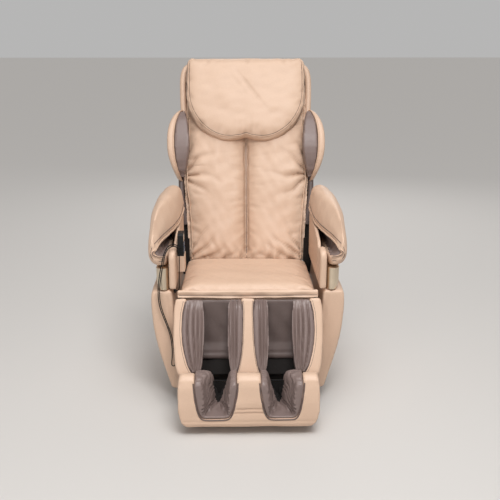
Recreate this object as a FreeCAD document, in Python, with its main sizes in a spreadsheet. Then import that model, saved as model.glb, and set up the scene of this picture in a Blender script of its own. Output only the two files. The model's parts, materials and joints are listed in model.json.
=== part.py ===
"""Massage chair: an upright reclining armchair with a leg rest, a foot rest and a massage carriage.

Millimetres. The chair faces -Y, Z is up, and +X is to the right of someone who looks at its front,
which is what right means in the names. The origin is on the floor, under the middle of the chair.
"""
import FreeCAD, Part
import math
import os
import re
import Sketcher
from FreeCAD import Placement, Rotation, Vector

doc = FreeCAD.newDocument("massage_chair")

DIMENSIONS = {
    # seat
    "seat_front": -329, "seat_rear": 132, "seat_half": 256, "seat_top": 449, "seat_rear_top": 420,
    "seat_under": 350, "pan_thick": 15, "flap_thick": 12, "flap_half": 265, "flap_drop": 31,
    # hinges
    "recline_y": 200, "recline_z": 340, "back_lean": 22,
    "calf_y": -345, "calf_z": 414, "calf_lean": 24,
    # chassis
    "rail_in": 200, "rail_out": 230, "rail_low": 60, "rail_top": 100, "rail_front": -290,
    "rail_rear": 375, "tube": 30, "lug_in": 246, "lug_out": 254, "ear_in": 222, "ear_out": 230,
    "foot_height": 60, "foot_radius": 20, "wheel_radius": 28, "wheel_y": 362, "wheel_z": 33,
    # sides and arms
    "skirt_top": 449, "skirt_low": 45, "skirt_top_in": 281, "skirt_top_out": 355,
    "skirt_low_in": 241, "skirt_low_out": 290, "skirt_front": -330, "skirt_rear": 310,
    "arm_in": 264, "arm_post_out": 292.5, "trim_out": 339, "arm_out": 366, "arm_low": 535,
    "arm_top": 757, "arm_front": -335, "arm_rear": 133, "post_top": 600, "post_rear": -245,
    "channel_low": 572, "channel_top": 700, "channel_out": 340, "panel_top": 640,
    "panel_front": -240,
    # backrest, in the frame of the recline hinge
    "pad_front": -83, "pad_rear": -38, "pad_low": 53, "pad_high": 927, "shell_rear": 82.2,
    "shell_low": 70, "shell_high": 915, "shell_half": 287, "shell_wall": 6,
    "pillow_front": -135, "pillow_low": 575, "pillow_high": 949, "pillow_half": 257,
    "pillow_rear": -20, "wing_low": 400, "wing_high": 718, "wing_front": -165,
    "wing_in": 263, "wing_mid": 302, "wing_out": 341,
    "post_in": 190, "post_out": 215, "post_deep": 18,
    # massage carriage, in the same frame
    "carriage_z": 420, "knead_y": 10, "knead_reach": 70, "roller_radius": 24,
    # leg rest, in the frame of its hinge
    "calf_front": -23, "calf_top": 10, "calf_foot": -272, "calf_rear": 74,
    "calf_top_half": 277, "calf_foot_half": 252, "leg_top_in": 22, "leg_top_out": 234,
    "leg_foot_in": 31, "leg_foot_out": 188, "rod_radius": 8, "rod_x": 218,
    # foot rest, in the chair's frame
    "toe_y": -607, "toe_top_y": -590, "foot_rear": -405, "foot_low": 30, "foot_top": 226,
    "foot_half": 247, "foot_low_half": 222, "sole_z": 68, "well_top_in": 42, "well_top_out": 190,
    "well_low_in": 58, "well_low_out": 176, "well_rear": -430, "lining": 30,
    # handset and its lead
    "handset_out": 262, "handset_in": 240, "handset_front": -255, "handset_rear": -195,
    "handset_low": 525, "handset_high": 645, "lead": 3.8,
    # actuators
    "back_drive_x": -66, "back_drive_y": -150, "back_drive_z": 200, "back_drive_run": 321,
    "back_drive_rise": 10.2, "back_drive_tail": 68,
    "leg_drive_x": 66, "leg_drive_y": -60, "leg_drive_z": 150, "leg_drive_run": 300,
    "leg_drive_rise": 152.2, "leg_drive_tail": 34,
}

sheet = doc.addObject("Spreadsheet::Sheet", "dims")
for row, (word, size) in enumerate(DIMENSIONS.items(), start=1):
    sheet.set(f"A{row}", word)
    sheet.set(f"B{row}", str(size))
    sheet.setAlias(f"B{row}", word)
doc.recompute()

WORDS = re.compile(r"\b(" + "|".join(sorted(DIMENSIONS, key=len, reverse=True)) + r")\b")
PLANE = {"x": "YZ_Plane", "y": "XZ_Plane", "z": "XY_Plane"}
nodes = {}


# ---------------------------------------------------------------- making and binding
def bound(text):
    """The expression with each driving dimension named in its sheet."""
    return WORDS.sub(r"dims.\1", str(text))


def size(text):
    """The value of an expression on the driving dimensions."""
    return float(sheet.evalExpression(bound(text)))


def bind(piece, **sizes):
    """Bind each property of the piece to an expression; __ in a name stands for a dot."""
    for name, text in sizes.items():
        piece.setExpression(name.replace("__", "."), bound(text))
    return piece


def keep(name, piece):
    """Label the piece as one sub-part of the chair."""
    piece.Label = name
    nodes[name] = piece
    return piece


def mirror(name, piece):
    """The same sub-part on the other side of the chair."""
    other = doc.addObject("Part::Mirroring", name + "_mirror")
    other.Source = piece
    other.Normal = Vector(1, 0, 0)
    return keep(name, other)


def lean(piece, hinge):
    """Stand a piece in the frame of a hinge: recline or calf."""
    tilt = {"recline": "back_lean", "calf": "calf_lean"}[hinge]
    piece.Placement = Placement(Vector(0, 0, 0), Rotation(Vector(1, 0, 0), -size(tilt)))
    bind(piece, Placement__Base__y=f"{hinge}_y", Placement__Base__z=f"{hinge}_z",
         Placement__Rotation__Angle=f"0 - {tilt}")
    return piece


def outline(body, along, points, start):
    """A closed sketch of straight edges on one of the body's own planes, every corner bound."""
    sketch = body.newObject("Sketcher::SketchObject", body.Name + "_outline")
    role = PLANE[along]
    plane = next(item for item in body.Origin.OriginFeatures if item.Role == role)
    sketch.AttachmentSupport = [(plane, "")]
    sketch.MapMode = "FlatFace"
    bind(sketch, AttachmentOffset__Base__z=start)
    corners = [Vector(size(across), size(up), 0) for across, up in points]
    for index, corner in enumerate(corners):
        after = corners[(index + 1) % len(corners)]
        sketch.addGeometry(Part.LineSegment(corner, after), False)
    for index, (across, up) in enumerate(points):
        after = (index + 1) % len(points)
        sketch.addConstraint(Sketcher.Constraint("Coincident", index, 2, after, 1))
        for kind, text, value in (("DistanceX", across, corners[index].x),
                                  ("DistanceY", up, corners[index].y)):
            number = sketch.addConstraint(Sketcher.Constraint(kind, -1, 1, index, 1, value))
            bind(sketch, **{f"Constraints[{number}]": text})
    return sketch


def extrude(body, kind, along, points, low, high):
    """Add or cut the outline from low to high along an axis."""
    start = f"0 - ({high})" if along == "y" else low
    sketch = outline(body, along, points, start)
    feature = body.newObject("PartDesign::" + kind, body.Name + "_" + kind.lower())
    feature.Profile = sketch
    if kind == "Pocket":
        feature.Reversed = True
    bind(feature, Length=f"({high}) - ({low})")
    doc.recompute()
    return feature


def prism(name, along, points, low, high):
    """A body made of one outline from low to high along an axis."""
    body = doc.addObject("PartDesign::Body", name)
    extrude(body, "Pad", along, points, low, high)
    return body


def pocket(body, along, points, low, high):
    """Cut the outline out of the body, and check that something went."""
    before = body.Shape.Volume
    extrude(body, "Pocket", along, points, low, high)
    if body.Shape.Volume > before - 1:
        raise RuntimeError(f"{body.Name}: a pocket cut nothing")
    return body


def soften(body, radius, direction, test=lambda point: True):
    """Fillet the body's straight edges along a direction whose middle passes the test."""
    axis = {"x": Vector(1, 0, 0), "y": Vector(0, 1, 0), "z": Vector(0, 0, 1)}[direction]
    names = []
    for number, edge in enumerate(body.Tip.Shape.Edges, start=1):
        run = edge.Vertexes[-1].Point - edge.Vertexes[0].Point
        straight = edge.Curve.TypeId == "Part::GeomLine" and run.Length > 1
        if straight and abs(run.normalize() * axis) > 0.94 and test(edge.CenterOfMass):
            names.append(f"Edge{number}")
    base = body.Tip
    fillet = body.newObject("PartDesign::Fillet", body.Name + "_fillet")
    fillet.Base = (base, names)
    bind(fillet, Radius=radius)
    doc.recompute()
    return body


def box(name, x, y, z):
    """A block between two values on each axis, each an expression."""
    block = doc.addObject("Part::Box", name)
    bind(block, Length=f"({x[1]}) - ({x[0]})", Width=f"({y[1]}) - ({y[0]})",
         Height=f"({z[1]}) - ({z[0]})", Placement__Base__x=x[0], Placement__Base__y=y[0],
         Placement__Base__z=z[0])
    return block


def rod(name, radius, along, low, high, first, second):
    """A cylinder along an axis; first and second are its place on the other two axes, in order."""
    bar = doc.addObject("Part::Cylinder", name)
    turn = {"x": (Vector(0, 1, 0), 90), "y": (Vector(1, 0, 0), -90), "z": (Vector(0, 0, 1), 0)}
    bar.Placement = Placement(Vector(0, 0, 0), Rotation(*turn[along]))
    others = [axis for axis in "xyz" if axis != along]
    bind(bar, Radius=radius, Height=f"({high}) - ({low})",
         **{f"Placement__Base__{along}": low, f"Placement__Base__{others[0]}": first,
            f"Placement__Base__{others[1]}": second})
    return bar


def fuse(name, pieces):
    """Several pieces welded into one."""
    joined = doc.addObject("Part::MultiFuse", name)
    joined.Shapes = pieces
    joined.Refine = True
    return joined


def cut(name, piece, tool):
    """One piece with another taken out of it."""
    rest = doc.addObject("Part::Cut", name)
    rest.Base = piece
    rest.Tool = tool
    return rest


def common(name, piece, other):
    """What two pieces share."""
    shared = doc.addObject("Part::MultiCommon", name)
    shared.Shapes = [piece, other]
    return shared


def plate(x_in, x_out, outline_points, name):
    """A flat bracket on both sides of the chair, as a left and right pair."""
    right = prism(name + "_right", "x", outline_points, x_in, x_out)
    left = prism(name + "_left", "x", outline_points, f"0 - ({x_out})", f"0 - ({x_in})")
    return [left, right]


# ---------------------------------------------------------------- chassis
def make_base_frame():
    """Two rails, cross tubes, seat uprights, hinge ears, wheel plates and actuator ears."""
    parts = []
    for side in (-1, 1):
        x_span = ("rail_in", "rail_out") if side > 0 else ("0 - rail_out", "0 - rail_in")
        parts.append(box("rail", x_span, ("rail_front", "rail_rear"), ("rail_low", "rail_top")))
        parts.append(box("upright", x_span, ("rail_front", "rail_front + tube"),
                         ("rail_top", "seat_under - pan_thick")))
        parts.append(box("seat_post", x_span, ("20", "20 + tube"),
                         ("rail_top", "seat_under - pan_thick")))
    for start in ("rail_front", "back_drive_y - tube / 2", "leg_drive_y - tube / 2", "300"):
        parts.append(box("cross_tube", ("0 - rail_in", "rail_in"), (start, f"{start} + tube"),
                         ("rail_low", "rail_top")))
    lug = [("calf_y - 8", "calf_z - 4"), ("calf_y - 8", "calf_z + 10"), ("calf_y + 9", "calf_z + 10"),
           ("calf_y + 13", "calf_z"), ("seat_front + 10", "seat_under + 2"),
           ("seat_front + 10", "seat_under - pan_thick - 1"), ("rail_front + 28",
           "seat_under - pan_thick - 1"), ("rail_front + 28", "240"), ("rail_front", "240"),
           ("rail_front - 40", "320"), ("calf_y", "calf_z - 19")]
    parts += plate("lug_in", "lug_out", lug, "calf_lug")
    for side in (-1, 1):
        x_span = ("rail_out", "lug_in + 1") if side > 0 else ("0 - lug_in - 1", "0 - rail_out")
        parts.append(box("lug_block", x_span, ("rail_front", "rail_front + 28"), ("245", "300")))
    ear = [("recline_y - 50", "rail_top"), ("recline_y + 50", "rail_top"),
           ("recline_y + 16", "recline_z + 8"), ("recline_y + 8", "recline_z + 16"),
           ("recline_y - 8", "recline_z + 16"), ("recline_y - 16", "recline_z + 8")]
    parts += plate("ear_in", "ear_out", ear, "recline_ear")
    wheel_plate = [("wheel_y - 14", "rail_low"), ("wheel_y + 13", "rail_low"),
                   ("wheel_y + 10", "wheel_z - 10"), ("wheel_y - 10", "wheel_z - 10")]
    parts += plate("rail_in", "rail_in + 6", wheel_plate, "wheel_plate")
    for drive in ("back_drive", "leg_drive"):
        for offset in (-28, 22):
            ear = [(f"{drive}_y - 14", "rail_top"), (f"{drive}_y + 14", "rail_top"),
                   (f"{drive}_y + 10", f"{drive}_z + 9"), (f"{drive}_y - 10", f"{drive}_z + 9")]
            parts.append(prism(f"{drive}_ear", "x", ear, f"{drive}_x + {offset}",
                               f"{drive}_x + {offset + 6}"))
    return fuse("base_frame_weld", parts)


def make_pivot_pins():
    """The pins and bolts of the chassis: calf hinge, recline hinge, drives and wheels."""
    pins = []
    for sign in ("", "0 - "):
        def span(low, high):
            return (low, high) if not sign else (f"0 - ({high})", f"0 - ({low})")
        pins.append(rod("calf_pin", "6", "x", *span("236", "266"), "calf_y", "calf_z"))
        pins.append(rod("recline_pin", "8", "x", *span("186", "ear_out + 4"),
                        "recline_y", "recline_z"))
        bolt = rod("wheel_bolt", "5", "x", *span("166", "rail_in + 6"), "wheel_y", "wheel_z")
        head = rod("wheel_bolt_head", "9", "x", *span("162", "166"), "wheel_y", "wheel_z")
        pins.append(fuse("wheel_axle", [bolt, head]))
    for drive in ("back_drive", "leg_drive"):
        pins.append(rod(f"{drive}_pin", "5", "x", f"{drive}_x - 30", f"{drive}_x + 30",
                        f"{drive}_y", f"{drive}_z"))
    group = doc.addObject("Part::Compound", "pivot_pin_group")
    group.Links = pins
    return group


def make_feet():
    """Four rubber feet under the corners of the rails."""
    middle = "(rail_in + rail_out) / 2"
    feet = []
    for x in (middle, f"0 - {middle}"):
        for y in ("rail_front + 30", "rail_rear - 75"):
            feet.append(rod("rubber_foot", "foot_radius", "z", "0", "foot_height", x, y))
    group = doc.addObject("Part::Compound", "feet_group")
    group.Links = feet
    return group


def make_wheel():
    """One small transport wheel, clear of the floor until the chair is tipped back."""
    disc = rod("wheel_disc", "wheel_radius", "x", "168", "192", "wheel_y", "wheel_z")
    bore = rod("wheel_bore", "5.05", "x", "160", "200", "wheel_y", "wheel_z")
    return cut("wheel_ring", disc, bore)


# ---------------------------------------------------------------- seat and sides
def make_seat_cushion():
    """The seat: highest at its front edge, falling to the back."""
    side = [("seat_front + flap_thick + 1", "seat_under"), ("seat_rear", "seat_under"),
            ("seat_rear", "seat_rear_top"), ("seat_front + flap_thick + 1", "seat_top")]
    body = prism("seat_cushion_body", "x", side, "0 - seat_half", "seat_half")
    return soften(body, "9", "x", lambda point: point.z > 400)


def make_seat_flap():
    """The lip of the seat, which hangs over the leg rest's hinge."""
    side = [("seat_front", "seat_top - flap_drop"),
            ("seat_front + flap_thick", "seat_top - flap_drop"),
            ("seat_front + flap_thick", "seat_top"), ("seat_front + 4", "seat_top"),
            ("seat_front", "seat_top - 5")]
    return prism("seat_flap_body", "x", side, "0 - flap_half", "flap_half")


def make_skirt():
    """A side panel that tapers in to the floor, cut away under the reclining back."""
    front = [("skirt_top_in", "skirt_top"), ("skirt_top_out", "skirt_top"),
             ("skirt_top_out + 5", "405"), ("skirt_top_out + 2", "330"),
             ("skirt_top_out - 18", "212"), ("skirt_low_out + 18", "105"),
             ("skirt_low_out", "skirt_low"), ("skirt_low_in", "skirt_low")]
    body = prism("skirt_body", "y", front, "skirt_front", "skirt_rear")
    corner = [("arm_rear + 5", "skirt_top + 5"), ("skirt_rear + 5", "skirt_top + 5"),
              ("skirt_rear + 5", "200")]
    pocket(body, "x", corner, "200", "400")
    return soften(body, "12", "z", lambda point: point.y < -300 and point.x > 300)


def make_arm_post():
    """The upholstered post that carries the front of the arm."""
    side = [("skirt_front", "skirt_top + 0.5"), ("post_rear", "skirt_top + 0.5"),
            ("post_rear", "post_top"), ("skirt_front + 14", "post_top"),
            ("skirt_front", "post_top - 14")]
    return prism("post_body", "x", side, "arm_in", "arm_post_out")


def make_trim():
    """The metal trim between the skirt and the arm, rounded at its front."""
    side = [("skirt_front + 2", "skirt_top + 0.5"), ("arm_rear - 8", "skirt_top + 0.5"),
            ("arm_rear - 8", "arm_low - 0.5"), ("skirt_front + 2", "arm_low - 0.5")]
    body = prism("trim_body", "x", side, "arm_post_out + 0.5", "trim_out")
    return soften(body, "16", "z", lambda point: point.y < 0 and point.x > 330)


def make_inner_panel():
    """The wall between the seat and the forearm channel."""
    side = [("panel_front", "skirt_top + 0.5"), ("arm_rear - 3", "skirt_top + 0.5"),
            ("arm_rear - 3", "panel_top"), ("panel_front + 30", "panel_top"),
            ("panel_front", "panel_top - 40")]
    return prism("inner_panel_body", "x", side, "arm_in", "arm_post_out")


def make_arm_hood():
    """The arm: a C-shaped shell round the forearm, its lip swept from inside rear to outside front."""
    side = [("arm_front", "arm_low + 25"), ("arm_front + 20", "arm_low"), ("arm_rear", "arm_low"),
            ("arm_rear", "arm_top"), ("0", "arm_top"), ("arm_front + 120", "arm_top - 22"),
            ("arm_front + 35", "arm_top - 70"), ("arm_front", "arm_top - 140")]
    body = prism("hood_body", "x", side, "arm_in - 2", "arm_out")
    soften(body, "22", "y", lambda point: point.x > 350 and point.z > 700)
    channel = [("arm_post_out + 0.5", "channel_low"), ("channel_out", "channel_low"),
               ("channel_out", "channel_top"), ("arm_in - 10", "channel_top"),
               ("arm_in - 10", "arm_low - 10"), ("arm_post_out + 0.5", "arm_low - 10")]
    pocket(body, "y", channel, "arm_front - 10", "arm_rear - 33")
    rear = [("arm_in - 10", "arm_low - 10"), ("arm_post_out + 0.5", "arm_low - 10"),
            ("arm_post_out + 0.5", "panel_top + 0.5"), ("arm_in - 10", "panel_top + 0.5")]
    pocket(body, "y", rear, "arm_rear - 34", "arm_rear + 5")
    sweep = [("arm_in - 10", "arm_front - 10"), ("channel_out", "arm_front - 10"),
             ("channel_out - 4", "arm_front + 40"), ("arm_in - 10", "20")]
    pocket(body, "z", sweep, "channel_low + 1", "arm_top + 10")
    return body


def make_arm_airbag():
    """The airbag that lines the outer wall of the forearm channel."""
    side = [("arm_front + 35", "channel_low + 2"), ("arm_rear - 36", "channel_low + 2"),
            ("arm_rear - 36", "channel_top - 2"), ("arm_front + 60", "channel_top - 2"),
            ("arm_front + 35", "channel_top - 40")]
    return prism("arm_airbag_body", "x", side, "channel_out - 18", "channel_out - 0.5")


# ---------------------------------------------------------------- rear cover and electrics
def make_rear_cover():
    """The plastic cover of the chassis, with openings for the inlet and the switch."""
    face = [("-190", "rail_top + 2"), ("190", "rail_top + 2"), ("190", "250"), ("-190", "250")]
    body = prism("rear_cover_body", "y", face, "331", "336")
    soften(body, "18", "y")
    inlet = [("60", "120"), ("92", "120"), ("92", "146"), ("60", "146")]
    switch = [("108", "120"), ("132", "120"), ("132", "146"), ("108", "146")]
    pocket(body, "y", inlet, "320", "345")
    pocket(body, "y", switch, "320", "345")
    for side in ("-150", "130"):
        leg = [(side, "rail_top"), (f"{side} + 20", "rail_top"), (f"{side} + 20", "rail_top + 12"),
               (side, "rail_top + 12")]
        extrude(body, "Pad", "y", leg, "310", "331")
    return body


def make_power_inlet():
    """The mains inlet: a recessed socket with three flat pins."""
    face = [("60.3", "120.3"), ("91.7", "120.3"), ("91.7", "145.7"), ("60.3", "145.7")]
    body = prism("inlet_body", "y", face, "312", "338")
    recess = [("64", "124"), ("88", "124"), ("88", "142"), ("64", "142")]
    pocket(body, "y", recess, "320", "340")
    pins = [box("inlet_pin", (x, f"{x} + 2"), ("319", "334"), (z, f"{z} + 5"))
            for x, z in (("68", "128"), ("75", "133"), ("82", "128"))]
    return fuse("inlet_fuse", [body] + pins)


def make_power_switch():
    """The rocker of the mains switch, proud of the cover on one side of its pivot."""
    side = [("322", "125"), ("335", "121.5"), ("340", "121.5"), ("337", "133"), ("340", "144.5"),
            ("335", "144.5"), ("322", "141")]
    body = prism("switch_body", "x", side, "110", "130")
    return cut("switch_cut", body, rod("switch_bore", "1", "x", "105", "135", "331", "133"))


def make_air_pump():
    """The compressor that fills the airbags, with its two outlet stubs."""
    block = box("pump_block", ("104", "190"), ("-250", "-170"), ("rail_top", "190"))
    motor = rod("pump_motor", "24", "y", "-250", "-176", "147", "198")
    stubs = [rod("pump_stub", "4", "z", "190", "214", x, "-174") for x in ("120", "176")]
    deck = box("pump_deck", ("104", "190"), ("-262", "-162"), ("rail_top", "rail_top + 4"))
    return fuse("pump_fuse", [block, motor, deck] + stubs)


def make_control_box():
    """The electronics housing, with a flange on the cross tubes."""
    block = box("control_block", ("-190", "-104"), ("-248", "-172"), ("rail_top", "170"))
    deck = box("control_deck", ("-190", "-104"), ("-262", "-162"), ("rail_top", "rail_top + 4"))
    return fuse("control_fuse", [block, deck])


def make_drive_body(drive):
    """A linear motor's housing, hinged on the chassis: tube, gearbox and motor can."""
    tube = rod("drive_tube", "20", "x", "-14", "190", "0", "0")
    can = rod("drive_can", "17", "x", "-8", "84", "0", "-34")
    gearbox = box("drive_gearbox", ("-10", "24"), ("-16", "16"), ("-34", "0"))
    bore = rod("drive_bore", "rod_radius + 0.3", "x", "30", "200", "0", "0")
    eye = rod("drive_eye", "5.05", "y", "-40", "40", "0", "0")
    cast = fuse("drive_cast", [tube, can, gearbox])
    shell = cut("drive_shell", cast, fuse("drive_voids", [bore, eye]))
    return aim(shell, drive)


def make_drive_rod(drive):
    """The rod of a linear motor, with a flat eye at its far end."""
    bar = rod("drive_bar", "rod_radius", "x", f"{drive}_tail", f"{drive}_run - 9", "0", "0")
    eye = rod("rod_eye", "13", "y", "-7", "7", f"{drive}_run", "0")
    hole = rod("rod_hole", "6", "y", "-20", "20", f"{drive}_run", "0")
    return aim(cut("drive_rod_cut", fuse("drive_rod_fuse", [bar, eye]), hole), drive)


def aim(piece, drive):
    """Point a drive from its pin on the chassis towards what it moves."""
    turn = Rotation(Vector(0, 0, 1), 90).multiply(Rotation(Vector(0, 1, 0), -size(f"{drive}_rise")))
    piece.Placement = Placement(Vector(0, 0, 0), turn)
    bind(piece, Placement__Base__x=f"{drive}_x", Placement__Base__y=f"{drive}_y",
         Placement__Base__z=f"{drive}_z")
    return piece


# ---------------------------------------------------------------- backrest
def make_back_frame():
    """Side tubes, cross tubes, the lead screw and the lever of the recline drive."""
    parts = []
    for side in (-1, 1):
        x_span = ("post_in", "post_out") if side > 0 else ("0 - post_out", "0 - post_in")
        parts.append(box("back_post", x_span, ("0 - post_deep", "post_deep"), ("-20", "905")))
    for low in ("-12", "881"):
        parts.append(box("back_cross", ("0 - post_in", "post_in"), ("-12", "12"), (low, f"{low} + 24")))
    for low in ("-6", "887"):
        parts.append(box("screw_block", ("-15", "15"), ("0", "56"), (low, f"{low} + 12")))
    parts.append(rod("lead_screw", "8", "z", "0", "893", "0", "44"))
    lever = [("-12", "8"), ("12", "8"), ("10", "-100"), ("-10", "-100")]
    for offset in (-16, 10):
        parts.append(prism("recline_lever", "x", lever, f"back_drive_x + {offset}",
                           f"back_drive_x + {offset + 6}"))
    bore = rod("recline_bore", "8.1", "x", "-240", "240", "0", "0")
    return lean(cut("back_frame_cut", fuse("back_frame_weld", parts), bore), "recline")


def make_back_pad():
    """The padded front of the backrest, narrowest at the seat."""
    face = [("-250", "pad_low"), ("250", "pad_low"), ("275", "420"), ("268", "800"),
            ("240", "pad_high"), ("-240", "pad_high"), ("-268", "800"), ("-275", "420")]
    body = prism("back_pad_body", "y", face, "pad_front", "pad_rear")
    return lean(soften(body, "14", "x", lambda point: point.y < -60), "recline")


def make_back_shell():
    """The moulded rear cover of the backrest, open at its front and bottom."""
    def face(inset):
        side, low, high = f"shell_half - {inset}", "shell_low", f"shell_high - {inset}"
        return [(f"0 - 254 + {inset}", low), (f"254 - {inset}", low), (side, "380"),
                (side, f"850 - {inset}"), (f"258 - {inset} / 2", high),
                (f"{inset} / 2 - 258", high), (f"0 - ({side})", f"850 - {inset}"),
                (f"0 - ({side})", "380")]
    body = prism("back_shell_body", "y", face("0"), "pad_rear + 1", "shell_rear")
    inner = face("shell_wall")
    inner[0] = (inner[0][0], "shell_low - 5")
    inner[1] = (inner[1][0], "shell_low - 5")
    pocket(body, "y", inner, "pad_rear - 5", "shell_rear - shell_wall")
    soften(body, "40", "x", lambda point: point.y > 70 and point.z > 880)
    return lean(body, "recline")


def wing_side(inset):
    """The side view of a shoulder wing, drawn in by an inset."""
    low, high, front = f"wing_low + {inset}", f"wing_high - {inset}", f"wing_front + {inset}"
    return [("-40", low), ("-120", f"{low} + 28"), (front, f"{low} + 92"),
            (front, f"{high} - 92"), ("-120", f"{high} - 28"), ("-40", high)]


def make_wing_shell():
    """The outer shell of a shoulder wing and the root that fixes it to the backrest."""
    blade = prism("wing_blade", "x", wing_side("0") + [("20", "wing_high"), ("20", "wing_low")],
                  "wing_mid", "wing_out")
    root = box("wing_root", ("shell_half + 0.5", "wing_mid"), ("-30", "20"),
               ("wing_low + 30", "wing_high - 30"))
    return lean(fuse("wing_shell_fuse", [blade, root]), "recline")


def make_wing_airbag():
    """The shoulder airbag on the inner face of a wing."""
    side = wing_side("12")
    side[0] = ("pad_front - 3", side[0][1])
    side[-1] = ("pad_front - 3", side[-1][1])
    return lean(prism("wing_airbag_body", "x", side, "wing_in", "wing_mid - 1"), "recline")


def make_pillow():
    """The head pillow: a thick flap over the top of the back pad, turning on its corded hem."""
    side = [("pillow_front", "pillow_low"), ("pad_front - 1.5", "pillow_low"),
            ("pad_front - 1.5", "pad_high + 1.5"), ("pillow_rear", "pad_high + 1.5"),
            ("pillow_rear", "pillow_high"), ("pillow_front + 20", "pillow_high"),
            ("pillow_front", "pillow_high - 30")]
    body = prism("pillow_body", "x", side, "0 - pillow_half", "pillow_half")
    soften(body, "100", "y", lambda point: point.z < 600)
    hem = rod("pillow_hem", "6", "x", "0 - pillow_half", "pillow_half", "pillow_rear",
              "pillow_high - 6")
    return lean(fuse("pillow_fuse", [body, hem]), "recline")


# ---------------------------------------------------------------- massage mechanism
def make_carriage():
    """The carriage on the lead screw, with the ears and pins of both kneading arms."""
    low, high = "carriage_z - 36", "carriage_z + 36"
    parts = [box("carriage_block", ("-186", "186"), ("26", "62"), (low, high))]
    for side in (-1, 1):
        for x_in, x_out in ((48, 56), (78, 86)):
            x_low, x_high = sorted((side * x_in, side * x_out))
            parts.append(box("carriage_ear", (x_low, x_high), ("knead_y - 12", "28"),
                             ("carriage_z - 14", "carriage_z + 14")))
        x_low, x_high = sorted((side * 46, side * 88))
        parts.append(rod("knead_pin", "6", "x", x_low, x_high, "knead_y", "carriage_z"))
    bore = rod("screw_bore", "8.2", "z", "0", "893", "0", "44")
    return lean(cut("carriage_cut", fuse("carriage_fuse", parts), bore), "recline")


def make_kneading_arm():
    """A rocking arm with the axle of a roller at each end."""
    side = [("-8", "carriage_z - knead_reach - 9"), ("8", "carriage_z - knead_reach - 9"),
            ("22", "carriage_z"), ("8", "carriage_z + knead_reach + 9"),
            ("-8", "carriage_z + knead_reach + 9"), ("-4", "carriage_z")]
    parts = [prism("knead_arm_body", "x", side, "60", "74")]
    for end in ("carriage_z - knead_reach", "carriage_z + knead_reach"):
        parts.append(rod("roller_axle", "4", "x", "30", "61", "0", end))
        parts.append(rod("axle_head", "8", "x", "26", "30", "0", end))
    bore = rod("knead_bore", "6.1", "x", "58", "76", "knead_y", "carriage_z")
    return lean(cut("knead_arm_cut", fuse("knead_arm_fuse", parts), bore), "recline")


def make_roller(end):
    """One massage roller on its axle, its edges rounded."""
    disc = rod("roller_disc", "roller_radius", "x", "31", "57", "0", end)
    round_disc = doc.addObject("Part::Fillet", "roller_round")
    round_disc.Base = disc
    doc.recompute()
    rims = [number for number, edge in enumerate(disc.Shape.Edges, start=1)
            if edge.Curve.TypeId == "Part::GeomCircle"]
    round_disc.Edges = [(number, 8, 8) for number in rims]
    bore = rod("roller_bore", "4.05", "x", "20", "70", "0", end)
    return lean(cut("roller_cut", round_disc, bore), "recline")


# ---------------------------------------------------------------- leg rest
def calf_taper(name, top_in, foot_in, top_out, foot_out):
    """A front view between two tapering edges, as deep as the leg rest."""
    face = [(foot_in, "calf_foot - 5"), (foot_out, "calf_foot - 5"), (top_out, "calf_top + 5"),
            (top_in, "calf_top + 5")]
    return prism(name, "y", face, "-60", "120")


def make_calf_shell():
    """The leg rest: a deep block with a channel for each calf, and its drive bracket."""
    side = [("calf_front", "calf_top"), ("calf_front", "calf_foot"), ("calf_rear", "calf_foot"),
            ("calf_rear", "-140"), ("9", "0"), ("4", "calf_top")]
    block = prism("calf_block", "x", side, "-300", "300")
    whole = common("calf_whole", block, calf_taper("calf_face", "0 - calf_top_half",
                   "0 - calf_foot_half", "calf_top_half", "calf_foot_half"))
    bracket = [("40", "-75"), ("40", "-135"), ("80", "-118"), ("80", "-92")]
    ears = [prism("calf_bracket", "x", bracket, f"leg_drive_x + {offset}",
                  f"leg_drive_x + {offset + 6}") for offset in (-16, 10)]
    slots = [box("drive_slot", ("leg_drive_x - 10", "leg_drive_x + 10"), ("45", "100"),
                 ("-130", "-80"))]
    for sign in (-1, 1):
        def span(low, high):
            return (low, high) if sign > 0 else (f"0 - ({high})", f"0 - ({low})")
        hollow = [("-60", "30"), ("-60", "-300"), ("calf_rear - 22", "-300"),
                  ("calf_rear - 22", "-150"), ("-14", "-12"), ("-18", "30")]
        channel = prism("calf_channel", "x", hollow, *span("0", "300"))
        taper = [f"{'0 - ' if sign < 0 else ''}{edge}" for edge in
                 ("leg_top_in", "leg_foot_in", "leg_top_out", "leg_foot_out")]
        slots.append(common("calf_channel_cut", channel, calf_taper("calf_channel_face", *taper)))
        slots.append(box("lug_slot", span("lug_in - 2", "lug_out + 2"), ("-14", "100"), ("-150", "30")))
        slots.append(rod("calf_pin_bore", "6.1", "x", *span("236", "267"), "0", "0"))
        slots.append(rod("slide_bore", "rod_radius + 0.3", "z", "-300", "-40",
                         "rod_x" if sign > 0 else "0 - rod_x", "48"))
    body = cut("calf_cut", fuse("calf_fuse", [whole] + ears), fuse("calf_voids", slots))
    return lean(body, "calf")


def make_calf_airbags():
    """The pair of pleated airbags on the two walls of one calf channel."""
    side = [("-16", "-8"), ("-20", "-60"), ("-20", "calf_foot + 3"), ("calf_rear - 24", "calf_foot + 3"),
            ("calf_rear - 24", "-156"), ("-16.5", "-17")]
    bags = []
    for edges in (("leg_top_in + 1", "leg_foot_in + 1", "leg_top_in + 57", "leg_foot_in + 42"),
                  ("leg_top_out - 78", "leg_foot_out - 42", "leg_top_out - 1", "leg_foot_out - 1")):
        block = prism("airbag_side", "x", side, "0", "300")
        bags.append(common("airbag", block, calf_taper("airbag_face", *edges)))
    group = doc.addObject("Part::Compound", "calf_airbag_pair")
    group.Links = bags
    return lean(group, "calf")


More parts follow.
